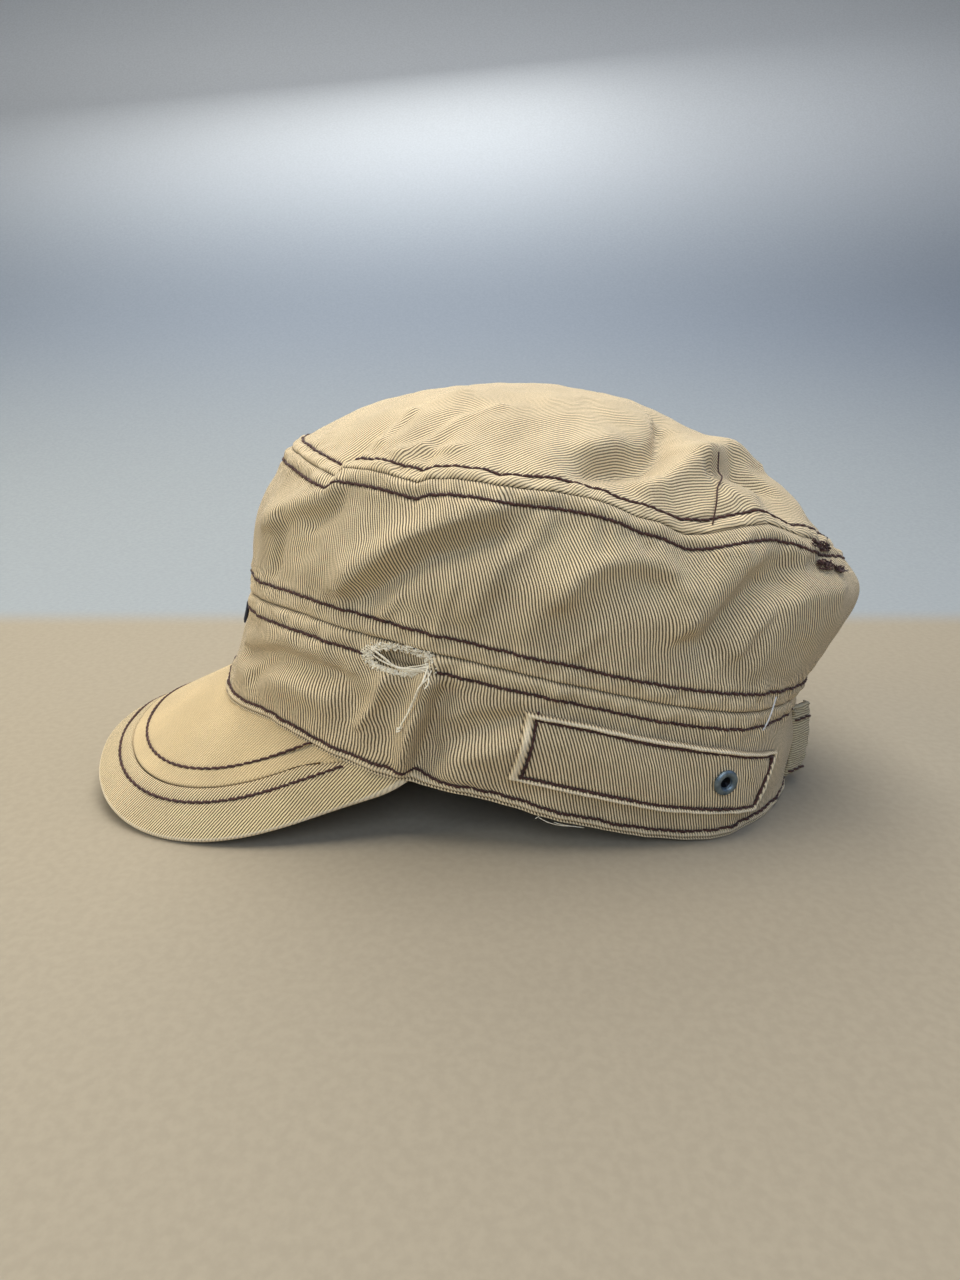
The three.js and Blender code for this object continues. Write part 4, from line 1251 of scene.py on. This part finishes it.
def tab_place(along, up, lift):
    """A point of the side tab: shares along it and up it, and how far it stands out."""
    along, up = np.broadcast_arrays(np.asarray(along, float), np.asarray(up, float))
    low, high = (np.interp(along, *np.array(TAB[edge], float).T) for edge in ("low_edge", "high_edge"))
    first, last = (a * (1 - up) + b * up for a, b in zip(TAB["low_ends"], TAB["high_ends"]))
    station = first * (1 - along) + last * along
    return skin(station, low * (1 - up) + high * up, TAB["lift"] + np.asarray(lift, float))


# Cross-section of the tab's rolled edges: mm in from the edge, height, and shade: painted shade below 0 at
# the roll's foot and in the stitch groove, a painted highlight above 0 on the roll.
TAB_EDGE = [
    (0.0, 0.6, -1.0), (0.1, 1.3, -0.4), (0.35, 2.0, 0.5), (0.8, 2.4, 0.8), (1.2, 2.35, 0.7),
    (1.5, 1.95, 0.3), (1.8, 1.15, -0.7), (2.05, 0.85, -1.1), (2.35, 1.0, -0.7), (2.9, 1.3, -0.1),
    (3.8, 1.5, 0.08), (5.2, 1.45, 0.0),
]
# How many times wider the roll is at the front end, at the back end and along the sides.
FRONT_STRETCH, BACK_STRETCH, LONG_STRETCH = 1.75, 0.9, 0.85


def edged_shares(size, first, last, count):
    """Shares across the tab: close over both rolled edges, even between them."""
    mm = np.array(TAB_EDGE)[:, 0]
    start, finish = mm * first / size, (1 - mm * last / size)[::-1]
    return np.concatenate([start, np.linspace(start[-1], finish[0], count)[1:-1], finish])


def side_tab():
    """The stitched strap on the left of the headband."""
    length, height = TAB["length"], TAB["height"]
    along = edged_shares(length, FRONT_STRETCH, BACK_STRETCH, 92)
    up = edged_shares(height, LONG_STRETCH, LONG_STRETCH, 14)
    a, b = np.meshgrid(along, up, indexing="ij")
    ends = np.minimum(a * length / FRONT_STRETCH, (1 - a) * length / BACK_STRETCH)
    inside = np.minimum(ends, np.minimum(b, 1 - b) * height / LONG_STRETCH)
    mm, heights, shades = np.array(TAB_EDGE).T
    rise, shade = np.interp(inside, mm, heights), np.interp(inside, mm, shades)
    soft = uneven(tab_place(a, b, TAB["thickness"]), TAB_WAVES)
    make_sheet(
        "tab", "side_tab", tab_place(a, b, rise + soft), tab_place(a, b, 0.0), "khaki_twill", TWILL_TAB,
        cloth=np.stack([a * length, b * height], -1), turn_over=1.0, shades=(shade, 0 * shade),
    )


side_tab()


def turned_profile(profile, centre, axis, sides):
    """A closed ring turned from a closed profile of (radius, height) round an axis."""
    axis = unit(np.asarray(axis, float))
    side = unit(np.cross(axis, (0, 0, 1.0)))
    ring = circle(side, np.cross(axis, side), sides)
    points = np.concatenate([centre + axis * h + ring * r for r, h in profile])
    faces, _, _ = grid_faces(len(profile), sides, True, True)
    return points, faces


def eyelet():
    """The pressed metal ring in the tab: a rounded flange and a bore whose lip and floor are painted near
    black as shade.
    """
    place = (EYELET["station"], EYELET["level"])
    seat, outer, hole, rim = (EYELET[key] for key in ("seat", "outer", "hole", "rim"))
    stem, deep, sides = EYELET["stem"], -EYELET["depth"], EYELET["sides"]
    axis_gap = 0.01
    middle, half = (outer + hole) / 2 + rim, (outer - hole) / 2 - rim
    arch = np.linspace(0, math.pi, 13)
    flange = [(middle + half * math.cos(a), seat + 0.15 + EYELET["flange"] * math.sin(a)) for a in arch]
    profile = [(axis_gap, deep), (stem, deep), (stem, seat), (outer - rim, seat), *flange]
    profile += [(hole, seat), (hole - rim, seat - 0.25), (axis_gap, seat - 0.3)]
    centre = skin(*place, TAB["lift"] + TAB["thickness"])
    points, faces = turned_profile(profile, centre, outward(*place), sides)
    # Painted shade: the hole's inner lip and the disc that closes it are painted near black.
    shade = np.repeat([0.0] * (len(profile) - 3) + [-0.7, -1.0, -1.0], sides)
    piece = make_mesh("eyelet_ring", points, faces, None, shade, "eyelet_metal", METAL)
    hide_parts("eyelet")


eyelet()


def loop_frame():
    """The back loop's foot on the headband, and its directions out, facing and across."""
    out = outward(LOOP["station"], 1)
    out[2] = 0
    out = unit(out)
    turn = math.radians(-LOOP["turn"])
    c, s = math.cos(turn), math.sin(turn)
    face = np.array([out[0] * c - out[1] * s, out[0] * s + out[1] * c, 0])
    return skin(LOOP["station"], 1, 0), out, face, unit(np.cross((0, 0, 1.0), face))


LOOP_BASE, LOOP_OUT, LOOP_FACE, LOOP_ACROSS = loop_frame()


def loop_spine(share):
    """The middle of the back loop, some share of its height up."""
    stand = LOOP["foot"] + LOOP["bow"] * math.sin(math.pi * share) ** 0.6
    spine = LOOP_BASE + LOOP_OUT * stand
    spine[2] = LOOP["low"] + (LOOP["high"] - LOOP["low"]) * share
    return spine


LOOP_STEPS, LOOP_SIDES = 44, 28
LOOP_CLOTH = {"length": 28.5, "side": 0.55}  # cloth along the loop, and round it at each side, mm
# How much thicker its top and foot are folded, and the shares of its height where that ends.
LOOP_FOLDS = [(0.9, 0.84, 0.93), (0.5, 0.03, 0.1)]
LOOP_TOP = (0.86, 0.95)  # shares of its height over which its frayed end grows lumpy


def blunt(value, power):
    """A cosine or sine made squarer by a small power."""
    return math.copysign(abs(value) ** power, value)


def loop_ring(share):
    """A ring of points round the loop's flat section, thicker at its folded ends."""
    (high, start, end), (low, last, first) = LOOP_FOLDS
    folded = high * smooth_step(share, start, end) + low * smooth_step(1 - share, 1 - first, 1 - last)
    ring = []
    for angle in np.arange(LOOP_SIDES) * 2 * math.pi / LOOP_SIDES:
        across = blunt(math.cos(angle), 0.35)
        out = blunt(math.sin(angle), 0.6) * (LOOP["half"] + folded * LOOP["folded"]) + LOOP["half"]
        out += LOOP["bulge"] * (1 - across**2)
        ring.append(across * LOOP["width"] / 2 * LOOP_ACROSS + LOOP_FACE * out)
    return loop_spine(share) + ring


def back_loop():
    """The upright strap loop near the back's middle, with folded ends."""
    shares = np.arange(LOOP_STEPS + 1) / LOOP_STEPS
    points = np.array([loop_ring(share) for share in shares])
    points += LOOP_FACE * uneven(points, LOOP_WAVES)[..., None]
    lumpy = smooth_step(shares, *LOOP_TOP)[:, None]
    points += LOOP_FACE * (lumpy * uneven(points, LOOP_LUMPS))[..., None]
    points[..., 2] = np.clip(points[..., 2], *LOOP["limits"])
    faces = sheet_faces(LOOP_STEPS + 1, LOOP_SIDES)
    row, side = np.divmod(faces, LOOP_SIDES)
    closing = side[:, :1] == LOOP_SIDES - 1  # quads from a ring's last point to its first
    side = np.where(closing & (side == 0), LOOP_SIDES, side)
    corners = np.stack([row / LOOP_STEPS * LOOP_CLOTH["length"], side * LOOP_CLOTH["side"]], -1)
    piece = make_mesh("strap_loop", points.reshape(-1, 3), faces, corners, None, "khaki_twill", TWILL_LOOP)
    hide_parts("back_loop")


back_loop()


def front_patch():
    """The small plain patch at the front of the headband."""
    stations = np.linspace(-BADGE["half_span"], BADGE["half_span"], 25)
    levels = np.linspace(BADGE["low"], BADGE["high"], 11)
    place = np.meshgrid(stations, levels, indexing="ij")
    beside = np.minimum(place[0] - stations[0], stations[-1] - place[0])
    above = np.minimum(place[1] - levels[0], levels[-1] - place[1]) / BADGE["edge_level"]
    edge = np.clip(np.minimum(beside, above), 0, 1)
    rise = BADGE["lift"] + BADGE["thickness"] * (0.6 + 0.4 * np.sqrt(edge))
    upper, lower = skin(*place, rise), skin(*place, BADGE["lift"])
    make_sheet("front_patch", "front_badge", upper, lower, "navy_cloth", NAVY)


front_patch()


# ------------------------------------------------------------------------------ stitches
STITCH = {
    "pitch": 3.2,
    "uneven": 0.12,
    "gap": -0.16,  # share of the pitch; below 0 a stitch starts before the last one's end
    "radius": 0.52,
    "rise": 0.3,
    "dip": 0.1,
    "slant": 0.24,
    "sections": 7,
    "sides": 6,
}


def stitches(line, normal, rng, keep=None):
    """Points and quads of stitches along a line of points on the cloth."""
    along = arc(line)
    count = int(along[-1] // STITCH["pitch"])
    pitch = along[-1] / count
    starts = np.arange(count) * along[-1] / count
    starts = starts + rng.uniform(-STITCH["uneven"], STITCH["uneven"], count)
    share = np.linspace(0, 1, STITCH["sections"])
    place = starts[:, None] + (STITCH["gap"] / 2 + share * (1 - STITCH["gap"] / 2)) * pitch
    place = np.clip(place, 0, along[-1])
    centre = np.stack([np.interp(place, along, line[:, k]) for k in range(3)], -1)
    out = unit(np.stack([np.interp(place, along, normal[:, k]) for k in range(3)], -1))
    forward = unit(centre[:, -1:] - centre[:, :1])
    side = unit(np.cross(np.broadcast_to(forward, out.shape), out))
    arch = np.sin(np.pi * share)
    height = STITCH["rise"] * arch**0.5 - STITCH["dip"] * (1 - arch) ** 3
    slant = STITCH["slant"] * (share - 0.5) * 2
    centre = centre + out * height[:, None] + side * slant[:, None]
    size = STITCH["radius"] * (0.62 + 0.38 * arch**0.4) * rng.uniform(0.9, 1.1, (count, 1))
    ring = circle(side[:, :, None], out[:, :, None], STITCH["sides"])
    points = centre[:, :, None] + ring * size[:, :, None, None]
    if keep is not None:
        points = points[keep(centre[:, STITCH["sections"] // 2])]
    first, last = (points[:, [k]].mean(2, keepdims=True).repeat(STITCH["sides"], 2) for k in (0, -1))
    points = np.concatenate([first, points, last], axis=1)
    faces, _, _ = grid_faces(points.shape[1], STITCH["sides"], False, True)
    each = points.shape[1] * STITCH["sides"]
    faces = faces[None] + (np.arange(len(points)) * each)[:, None, None]
    return points.reshape(-1, 3), faces.reshape(-1, 4)


LINE_STATIONS = np.arange(0, 360.25, 0.5)
LINE_LIFT = 0.1
LINE_PUCKER = 0.26  # the cloth's pucker along a stitch line, as in the rows beside it
TEAR_CLEAR = (1.2, 2.2)  # mm beside and above the tear that the stitches leave free


def seam_line(level, mm):
    """A stitch line round the cap, so many mm along the cloth from a level."""
    levels = level_along(LINE_STATIONS, level, mm)
    lift = LINE_LIFT + slack(plain(LINE_STATIONS, levels), LINE_PUCKER)
    return skin(LINE_STATIONS, levels, lift), outward(LINE_STATIONS, levels)


def outside_tear(points):
    """True for stitches that lie clear of the tear."""
    x, y = tear_places(points)
    beside, above = TEAR_CLEAR
    inside = (np.abs(x) < TEAR["width"] + beside) & (np.abs(y) < TEAR["height"] + above)
    return ~(near_tear(points) & inside)


SEAM_LINES = [  # each line's seam, how far it lies from it, and which stitches it keeps
    (SEAM_LEVEL, STRIP_WIDTH, None),
    (SEAM_LEVEL, -STRIP_WIDTH, outside_tear),
    (CROWN_LEVEL, -CROWN_LOW_STRIP, None),
    (CROWN_LEVEL, CROWN_STRIP_WIDTH, None),
    (0, HEM_ROLL, None),
]
rng = np.random.default_rng(41)
dark = [stitches(*seam_line(level, mm), rng, keep) for level, mm, keep in SEAM_LINES]


def peak_line(at_tip, at_side):
    """A stitch line on the peak, between the places where it meets the hem."""
    stations = np.linspace(-PEAK["corner_station"], PEAK["corner_station"], 300)
    roots, rises = peak_root(stations)
    point, down = peak_surface(peak_outline(stations, at_tip, at_side), roots, rises)
    return point - down * 0.15, down


def past_hem(points):
    """True where a stitch on the peak lies outside the headband."""
    stations = np.linspace(-90, 90, 361)
    hem = ring_point(LOOPS[0], stations)
    nearest = np.argmin(np.linalg.norm(points[:, None, :2] - hem[None, :, :2], axis=-1), axis=1)
    out = outward(stations, 0 * stations)[nearest]
    return np.einsum("ij,ij->i", (points - hem[nearest])[:, :2], out[:, :2]) > 1.0


for mm_in in PEAK_LINES:
    dark.append(stitches(*peak_line(*mm_in), rng, past_hem))


def tab_line(start, end):
    """A stitch line on the tab between places given as mm from its front end and low edge."""
    share = np.linspace(0, 1, 60)[:, None]
    places = (np.array(start) * (1 - share) + np.array(end) * share) / (TAB["length"], TAB["height"])
    line, above = (tab_place(*places.T, lift) for lift in (1.15, 2.15))
    return line, unit(above - line)


TAB_STITCH = 2.1  # mm in from an edge of the tab, in the valley inside its roll
front_in = TAB_STITCH * FRONT_STRETCH
back_in = TAB["length"] - TAB_STITCH * BACK_STRETCH
low_in, high_in = TAB_STITCH * LONG_STRETCH, TAB["height"] - TAB_STITCH * LONG_STRETCH
TAB_LINES = [  # the front line crosses the others
    ((front_in - 0.4, high_in), (back_in, high_in)),
    ((back_in, high_in), (back_in, low_in)),
    ((back_in, low_in), (front_in - 0.6, low_in)),
    ((front_in, low_in - 1.2), (front_in, high_in + 2.4)),
]
for ends in TAB_LINES:
    dark.append(stitches(*tab_line(*ends), rng))

LOOP_LINES = (0.82, 0.06)  # shares of the loop's height


def loop_line(share):
    """A row of stitches across the back loop."""
    x = np.linspace(-0.45, 0.45, 12) * LOOP["width"]
    line = loop_spine(share) + LOOP_ACROSS * x[:, None] + LOOP_FACE * 2.0
    return line, np.broadcast_to(LOOP_FACE, line.shape)


for share in LOOP_LINES:
    dark.append(stitches(*loop_line(share), rng))


def loose(places, radius, steps=6):
    """A thread that lies over the cloth, through places of station, level and height."""
    stations, levels, lifts = np.array(places, float).T
    return strand(skin(stations, levels, lifts), radius, steps)


STANDING_THREAD = [  # a dark thread end that stands on the top panel
    (128.5, 4.02, 0.7), (131.5, 4.07, 1.0), (135, 4.12, 1.1),
    (139.5, 4.16, 1.3), (142, 4.2, 1.4), (143, 4.24, 1.6),
]
BAR_TACKS = [  # frayed, at the back: middle, then how far the strands reach round the cap and up
    ((153.5, 3.93), (2.6, 0.06)),
    ((157, 3.9), (2.2, 0.07)),
    ((154, 3.62), (2.4, 0.08)),
    ((158, 3.55), (2.2, 0.07)),
]
TACK_STRANDS = 13
dark.append(loose(STANDING_THREAD, 0.26))
for (station, level), (wide, high) in BAR_TACKS:
    for _ in range(TACK_STRANDS):
        stations = station + rng.uniform(-wide, wide, 3)
        levels = level + rng.uniform(-high, high, 3)
        rise = rng.uniform(0.5, 1.7)
        lifts = [0.3, rise, rise + rng.uniform(-0.5, 0.6)]
        dark.append(loose(np.stack([stations, levels, lifts], 1), 0.24, 4))
make_mesh("brown_stitching", *joined(dark), None, None, "brown_thread", BROWN)

# ------------------------------------------------------------------- the tear and threads
TEAR_BEND = (170, 260)  # how slowly the cloth falls away along the tear and up it


def tear_path(places):
    """Points by the tear, from places along it, up it and out from its curved cloth."""
    x, y, out = np.array(places, float).T
    out = out - x**2 / TEAR_BEND[0] - y**2 / TEAR_BEND[1]
    return TEAR_MIDDLE + x[:, None] * TEAR_ALONG + y[:, None] * TEAR_UP + out[:, None] * TEAR_OUT


def tear_rim(angle, grow):
    """The tear's rim at an angle: x and y."""
    x, y = (blunt(turned, 2 / TEAR["power"]) for turned in (math.cos(angle), math.sin(angle)))
    return x * TEAR["width"] * grow, y * TEAR["height"] * grow


rng = np.random.default_rng(17)
fray = []
FUZZ = 760  # fine fibres round the rim, some of which lean inwards
FUZZ_LEAN = 0.9
FUZZ_INWARD = 0.35
for _ in range(FUZZ):
    angle = rng.uniform(0, 2 * np.pi)
    x, y = tear_rim(angle, rng.uniform(0.9, 1.24))
    lean = angle + rng.uniform(-FUZZ_LEAN, FUZZ_LEAN) + (math.pi if rng.random() < FUZZ_INWARD else 0)
    reach = rng.uniform(0.7, 1.6) * (0.8 if math.sin(angle) < 0 else 1.0)
    dx, dy = math.cos(lean) * reach, math.sin(lean) * reach * 0.7
    lift = rng.uniform(0.4, 1.1)
    tip = (x + dx, y + dy, lift * rng.uniform(0.2, 1.2))
    path = tear_path([(x, y, -0.1), (x + dx / 2, y + dy / 2, lift), tip])
    fray.append(strand(path, rng.uniform(0.13, 0.22), 3, 5))
for angle in np.arange(math.pi * 1.03, math.pi * 1.97, 0.052):  # a row of cut rib ends below
    x, y = tear_rim(angle, 1.05)
    end = (x + 0.15, y - 0.7 + rng.uniform(-0.2, 0.2), 0.2)
    path = tear_path([(x - 0.1, y + 1.0, 0.1), (x, y + 0.1, 0.55), end])
    fray.append(strand(path, rng.uniform(0.26, 0.36), 3))

LOOSE_THREADS = [  # thickness of threads across the tear, then their x, y and height
    (0.2, [(-8.6, 3.0, 0.6), (-5.6, 1.2, 1.0), (-2.4, -1.0, 0.9), (0.4, -2.0, 0.9), (4.2, -1.6, 1.0),
           (8.4, -0.7, 0.6)]),
    (0.19, [(-8.4, 2.6, 0.6), (-5.2, 0.7, 0.9), (-1.9, -1.4, 0.8), (1.0, -2.3, 0.8), (4.6, -2.1, 0.9),
            (8.2, -1.4, 0.6)]),
    (0.17, [(-8.7, 2.2, 0.4), (-4.8, 0.9, 1.1), (-1.2, -1.6, 1.0), (2.2, -2.2, 1.0), (6.0, -1.2, 0.8),
            (8.6, 0.1, 0.5)]),
    (0.2, [(-7.8, 0.4, 0.4), (-5.0, -0.9, 0.7), (-1.6, -1.9, 0.8), (1.9, -2.7, 0.8), (5.4, -2.5, 0.8),
           (8.0, -2.1, 0.5)]),
    (0.14, [(-7.6, 3.3, 0.4), (-6.4, 2.6, 0.8), (-4.9, 3.2, 0.7), (-3.6, 3.4, 0.5)]),
    (0.15, [(1.4, -2.2, 0.8), (3.2, -1.3, 1.1), (6.4, -0.3, 0.9), (8.5, 0.6, 0.5)]),
    (0.15, [(2.4, -2.9, 0.7), (5.0, -1.9, 1.2), (7.2, -1.9, 0.9), (8.3, -2.8, 0.6)]),
]
THREAD_SIZE = 1.35
THREAD_SPREAD = 1.16  # the threads span the tear's whole width
THREAD_LIFT = 0.3
for radius, places in LOOSE_THREADS:
    path = tear_path(np.array(places) * (THREAD_SPREAD, 1, 1) + (0, 0, THREAD_LIFT))
    fray.append(strand(path, radius * THREAD_SIZE, 7))

HANGING = [  # thickness of threads that hang from the tear's rear end, then station, level and height
    (0.34, [(70.4, 1.9, 0.6), (69.9, 1.82, 1.3), (69.6, 1.67, 1.8), (68.9, 1.55, 1.4),
            (68.1, 1.37, 1.3), (67.2, 1.17, 1.3), (66.4, 0.98, 1.3), (66.2, 0.88, 1.2)]),
    (0.26, [(70.6, 1.8, 0.8), (70.2, 1.7, 1.5), (69.0, 1.58, 2.1), (67.8, 1.33, 2.0), (67.0, 1.18, 1.4)]),
    (0.24, [(69.0, 1.9, 0.8), (70.0, 1.78, 1.6), (70.6, 1.66, 1.5), (70.0, 1.58, 1.2)]),
]
for radius, places in HANGING:
    fray.append(loose(places, radius))
KNOT = (66.2, 0.87, 1.2)  # at the longest thread's end
for _ in range(5):
    fray.append(strand(skin(*KNOT) + rng.normal(size=(4, 3)) * 0.45, 0.24, 4))

HEM_FRAY = [  # as the threads above, on the hem
    (0.14, [(94, 0.02, 0.6), (96, 0, 1.3), (98.5, 0, 1.2), (101, 0.02, 0.6)]),
    (0.13, [(97, 0, 0.4), (99, 0.02, 1.2), (103, 0.03, 0.6)]),
    (0.12, [(94, 0.05, 0.8), (93.4, 0, 1.0)]),
]
HEM_FRAY_DROP = 0.8
for radius, places in HEM_FRAY:
    stations, levels, lifts = np.array(places, float).T
    path = skin(stations, levels, lifts) - (0, 0, HEM_FRAY_DROP)
    fray.append(strand(path, radius, 5, 5))
make_mesh("frayed_threads", *joined(fray), None, None, "cream_thread", CREAM)

TACK_THREAD = [(146.4, 2.16, 0.8), (146, 2.0, 1.4), (145.4, 1.85, 1.3), (144.8, 1.72, 0.6)]
make_mesh("tack_thread", *loose(TACK_THREAD, 0.3), None, None, "cream_thread", WHITE)


# ------------------------------------------------------------------- floor, light, camera
FLOOR = {"back": -0.228, "blend": -0.185, "front": 2.4, "half": 2.4, "tone": (158, 147, 126)}
BACKDROP = {"bend": 0.3, "end": -2.4, "curve": 0.5}
BACKDROP_TONES = [(0.0, (150, 156, 158)), (0.2, (128, 137, 148)), (0.62, (222, 227, 231))]  # painted light by height: darker low down, paler above
# A round wall's radii at its foot and its top, its height, colour and faint glow.
ROUND_WALL = {"low": 2.3, "high": 3.0, "top": 1.7, "tone": (200, 206, 212), "glow": 0.22}


def paper(name, tone):
    """Plain matt paper with a faint mottle; tone makes its colour from its nodes and place."""
    n = Nodes(name)
    place = n.place()
    cloud = n.between(n.noise(place, 3.0, 3), 0.3, 0.7, 0.95, 1.03)
    speck = n.between(n.noise(place, 900.0, 2), 0.3, 0.7, 0.97, 1.02)
    grey = n.grey(n.math("MULTIPLY", cloud, speck))
    return n.finish(n.mix(1.0, tone(n, place), grey, "MULTIPLY"), 0.95, n.bump(speck, 0.15, 0.3))


def floor_tone(n, place):
    """The floor's warm grey, which runs into the backdrop's colour at its back edge."""
    across = n.add("ShaderNodeSeparateXYZ", place).outputs[0]
    share = n.between(across, FLOOR["back"], FLOOR["blend"])
    return n.mix(share, linear(*BACKDROP_TONES[0][1]), linear(*FLOOR["tone"]))


def backdrop_tone(n, place):
    """The backdrop's blue grey, with painted light: darker low down and paler above."""
    height = n.add("ShaderNodeSeparateXYZ", place).outputs[2]
    (low, first), (middle, second), (high, third) = BACKDROP_TONES
    base = n.mix(n.between(height, low, middle), linear(*first), linear(*second))
    return n.mix(n.between(height, middle, high), base, linear(*third))


def wall_tone(n, place):
    """The round wall's plain pale grey."""
    return linear(*ROUND_WALL["tone"])


def stage_mesh(name, points, faces, tone):
    """A smooth paper surface that belongs to the stage and not to the cap."""
    mesh = bpy.data.meshes.new(name)
    mesh.from_pydata(points, [], faces)
    mesh.shade_smooth()
    mesh.materials.append(paper(name + "_paper", tone))
    placed(name, mesh)
    return mesh


def stage_sheet(name, profile, tone):
    """A wide sheet swept along the floor from a list of (x, z)."""
    half = FLOOR["half"]
    points = [(x, y, z) for x, z in profile for y in (-half, half)]
    faces = [(2 * k, 2 * k + 1, 2 * k + 3, 2 * k + 2) for k in range(len(profile) - 1)]
    stage_mesh(name, points, faces, tone)


stage_sheet("floor", [(FLOOR["front"], 0.0), (FLOOR["back"], 0.0)], floor_tone)
backs = np.linspace(FLOOR["back"], BACKDROP["end"], 30)
rises = BACKDROP["curve"] * np.maximum(-backs - BACKDROP["bend"], 0) ** 2
stage_sheet("backdrop", list(zip(backs, rises)), backdrop_tone)


def round_wall():
    """A plain wall all round, so that the cap has a pale background from every side."""
    turns = np.linspace(0, 2 * np.pi, 97)[:-1]
    bend = np.linspace(0, np.pi / 2, 12)[:, None]
    low, high = ROUND_WALL["low"], ROUND_WALL["high"]
    radii = low + (high - low) * np.sin(bend)
    heights = ROUND_WALL["top"] * (1 - np.cos(bend)) - 0.002
    points = np.stack([radii * np.cos(turns), radii * np.sin(turns), heights + 0 * turns], -1)
    faces, _, _ = grid_faces(len(bend), len(turns), False, True)
    wall = stage_mesh("round_wall", points.reshape(-1, 3).tolist(), faces[:, ::-1].tolist(), wall_tone)
    shader = wall.materials[0].node_tree.nodes["Principled BSDF"]
    shader.inputs["Emission Color"].default_value = linear(*ROUND_WALL["tone"])
    shader.inputs["Emission Strength"].default_value = ROUND_WALL["glow"]


round_wall()
LAMPS = [  # name, place in metres, size, watts, colour
    ("key_light", (0.0, 0.0, 1.3), 1.0, 14.3, (1.0, 0.98, 0.96)),
    ("far_light", (-0.9, -0.2, 1.0), 0.8, 9.5, (1.0, 1.0, 0.98)),
    ("front_light", (0.1, -1.0, 0.9), 0.8, 3.2, (1.0, 0.7, 0.25)),
    ("low_front_light", (0.2, -1.2, 0.5), 0.6, 4.2, (0.9, 0.98, 1.0)),
    ("side_light", (1.05, 0.0, 0.8), 0.8, 6.7, (0.66, 0.78, 1.0)),
    ("back_light", (0.0, 1.0, 0.9), 0.8, 2.0, (0.3, 0.5, 1.0)),
]
LAMPS_AIM = Vector((0, 0, 0.06))


def lamp(name, place, size, power, color):
    """A soft square light that faces the cap."""
    light = bpy.data.lights.new(name, "AREA")
    light.size = size
    light.energy = power
    light.color = color
    holder = placed(name, light)
    holder.location = place
    holder.rotation_euler = (LAMPS_AIM - Vector(place)).to_track_quat("-Z", "Y").to_euler()


for each in LAMPS:
    lamp(*each)
ROOM = {"color": (0.74, 0.8, 0.88), "strength": 0.02}
world = bpy.data.worlds.new("soft_room")
world.use_nodes = True
world.node_tree.nodes["Background"].inputs[0].default_value = (*ROOM["color"], 1)
world.node_tree.nodes["Background"].inputs[1].default_value = ROOM["strength"]
bpy.context.scene.world = world

# The camera stands to the cap's left and looks level along its width, tipped down.
CAMERA = {"place": (370.0, -16.0, 165.7), "down": 17.4, "lens": 27.03, "sensor": 36}
lens = bpy.data.cameras.new("camera")
lens.sensor_width = CAMERA["sensor"]
lens.lens = CAMERA["lens"]
lens.clip_start = 0.01
camera = placed("camera", lens)
camera.location = to_frame(CAMERA["place"])
down = math.radians(CAMERA["down"])
look = Vector((-math.cos(down), 0, -math.sin(down)))
camera.rotation_euler = look.to_track_quat("-Z", "Y").to_euler()
bpy.context.scene.camera = camera
bpy.context.scene.view_settings.view_transform = "Standard"
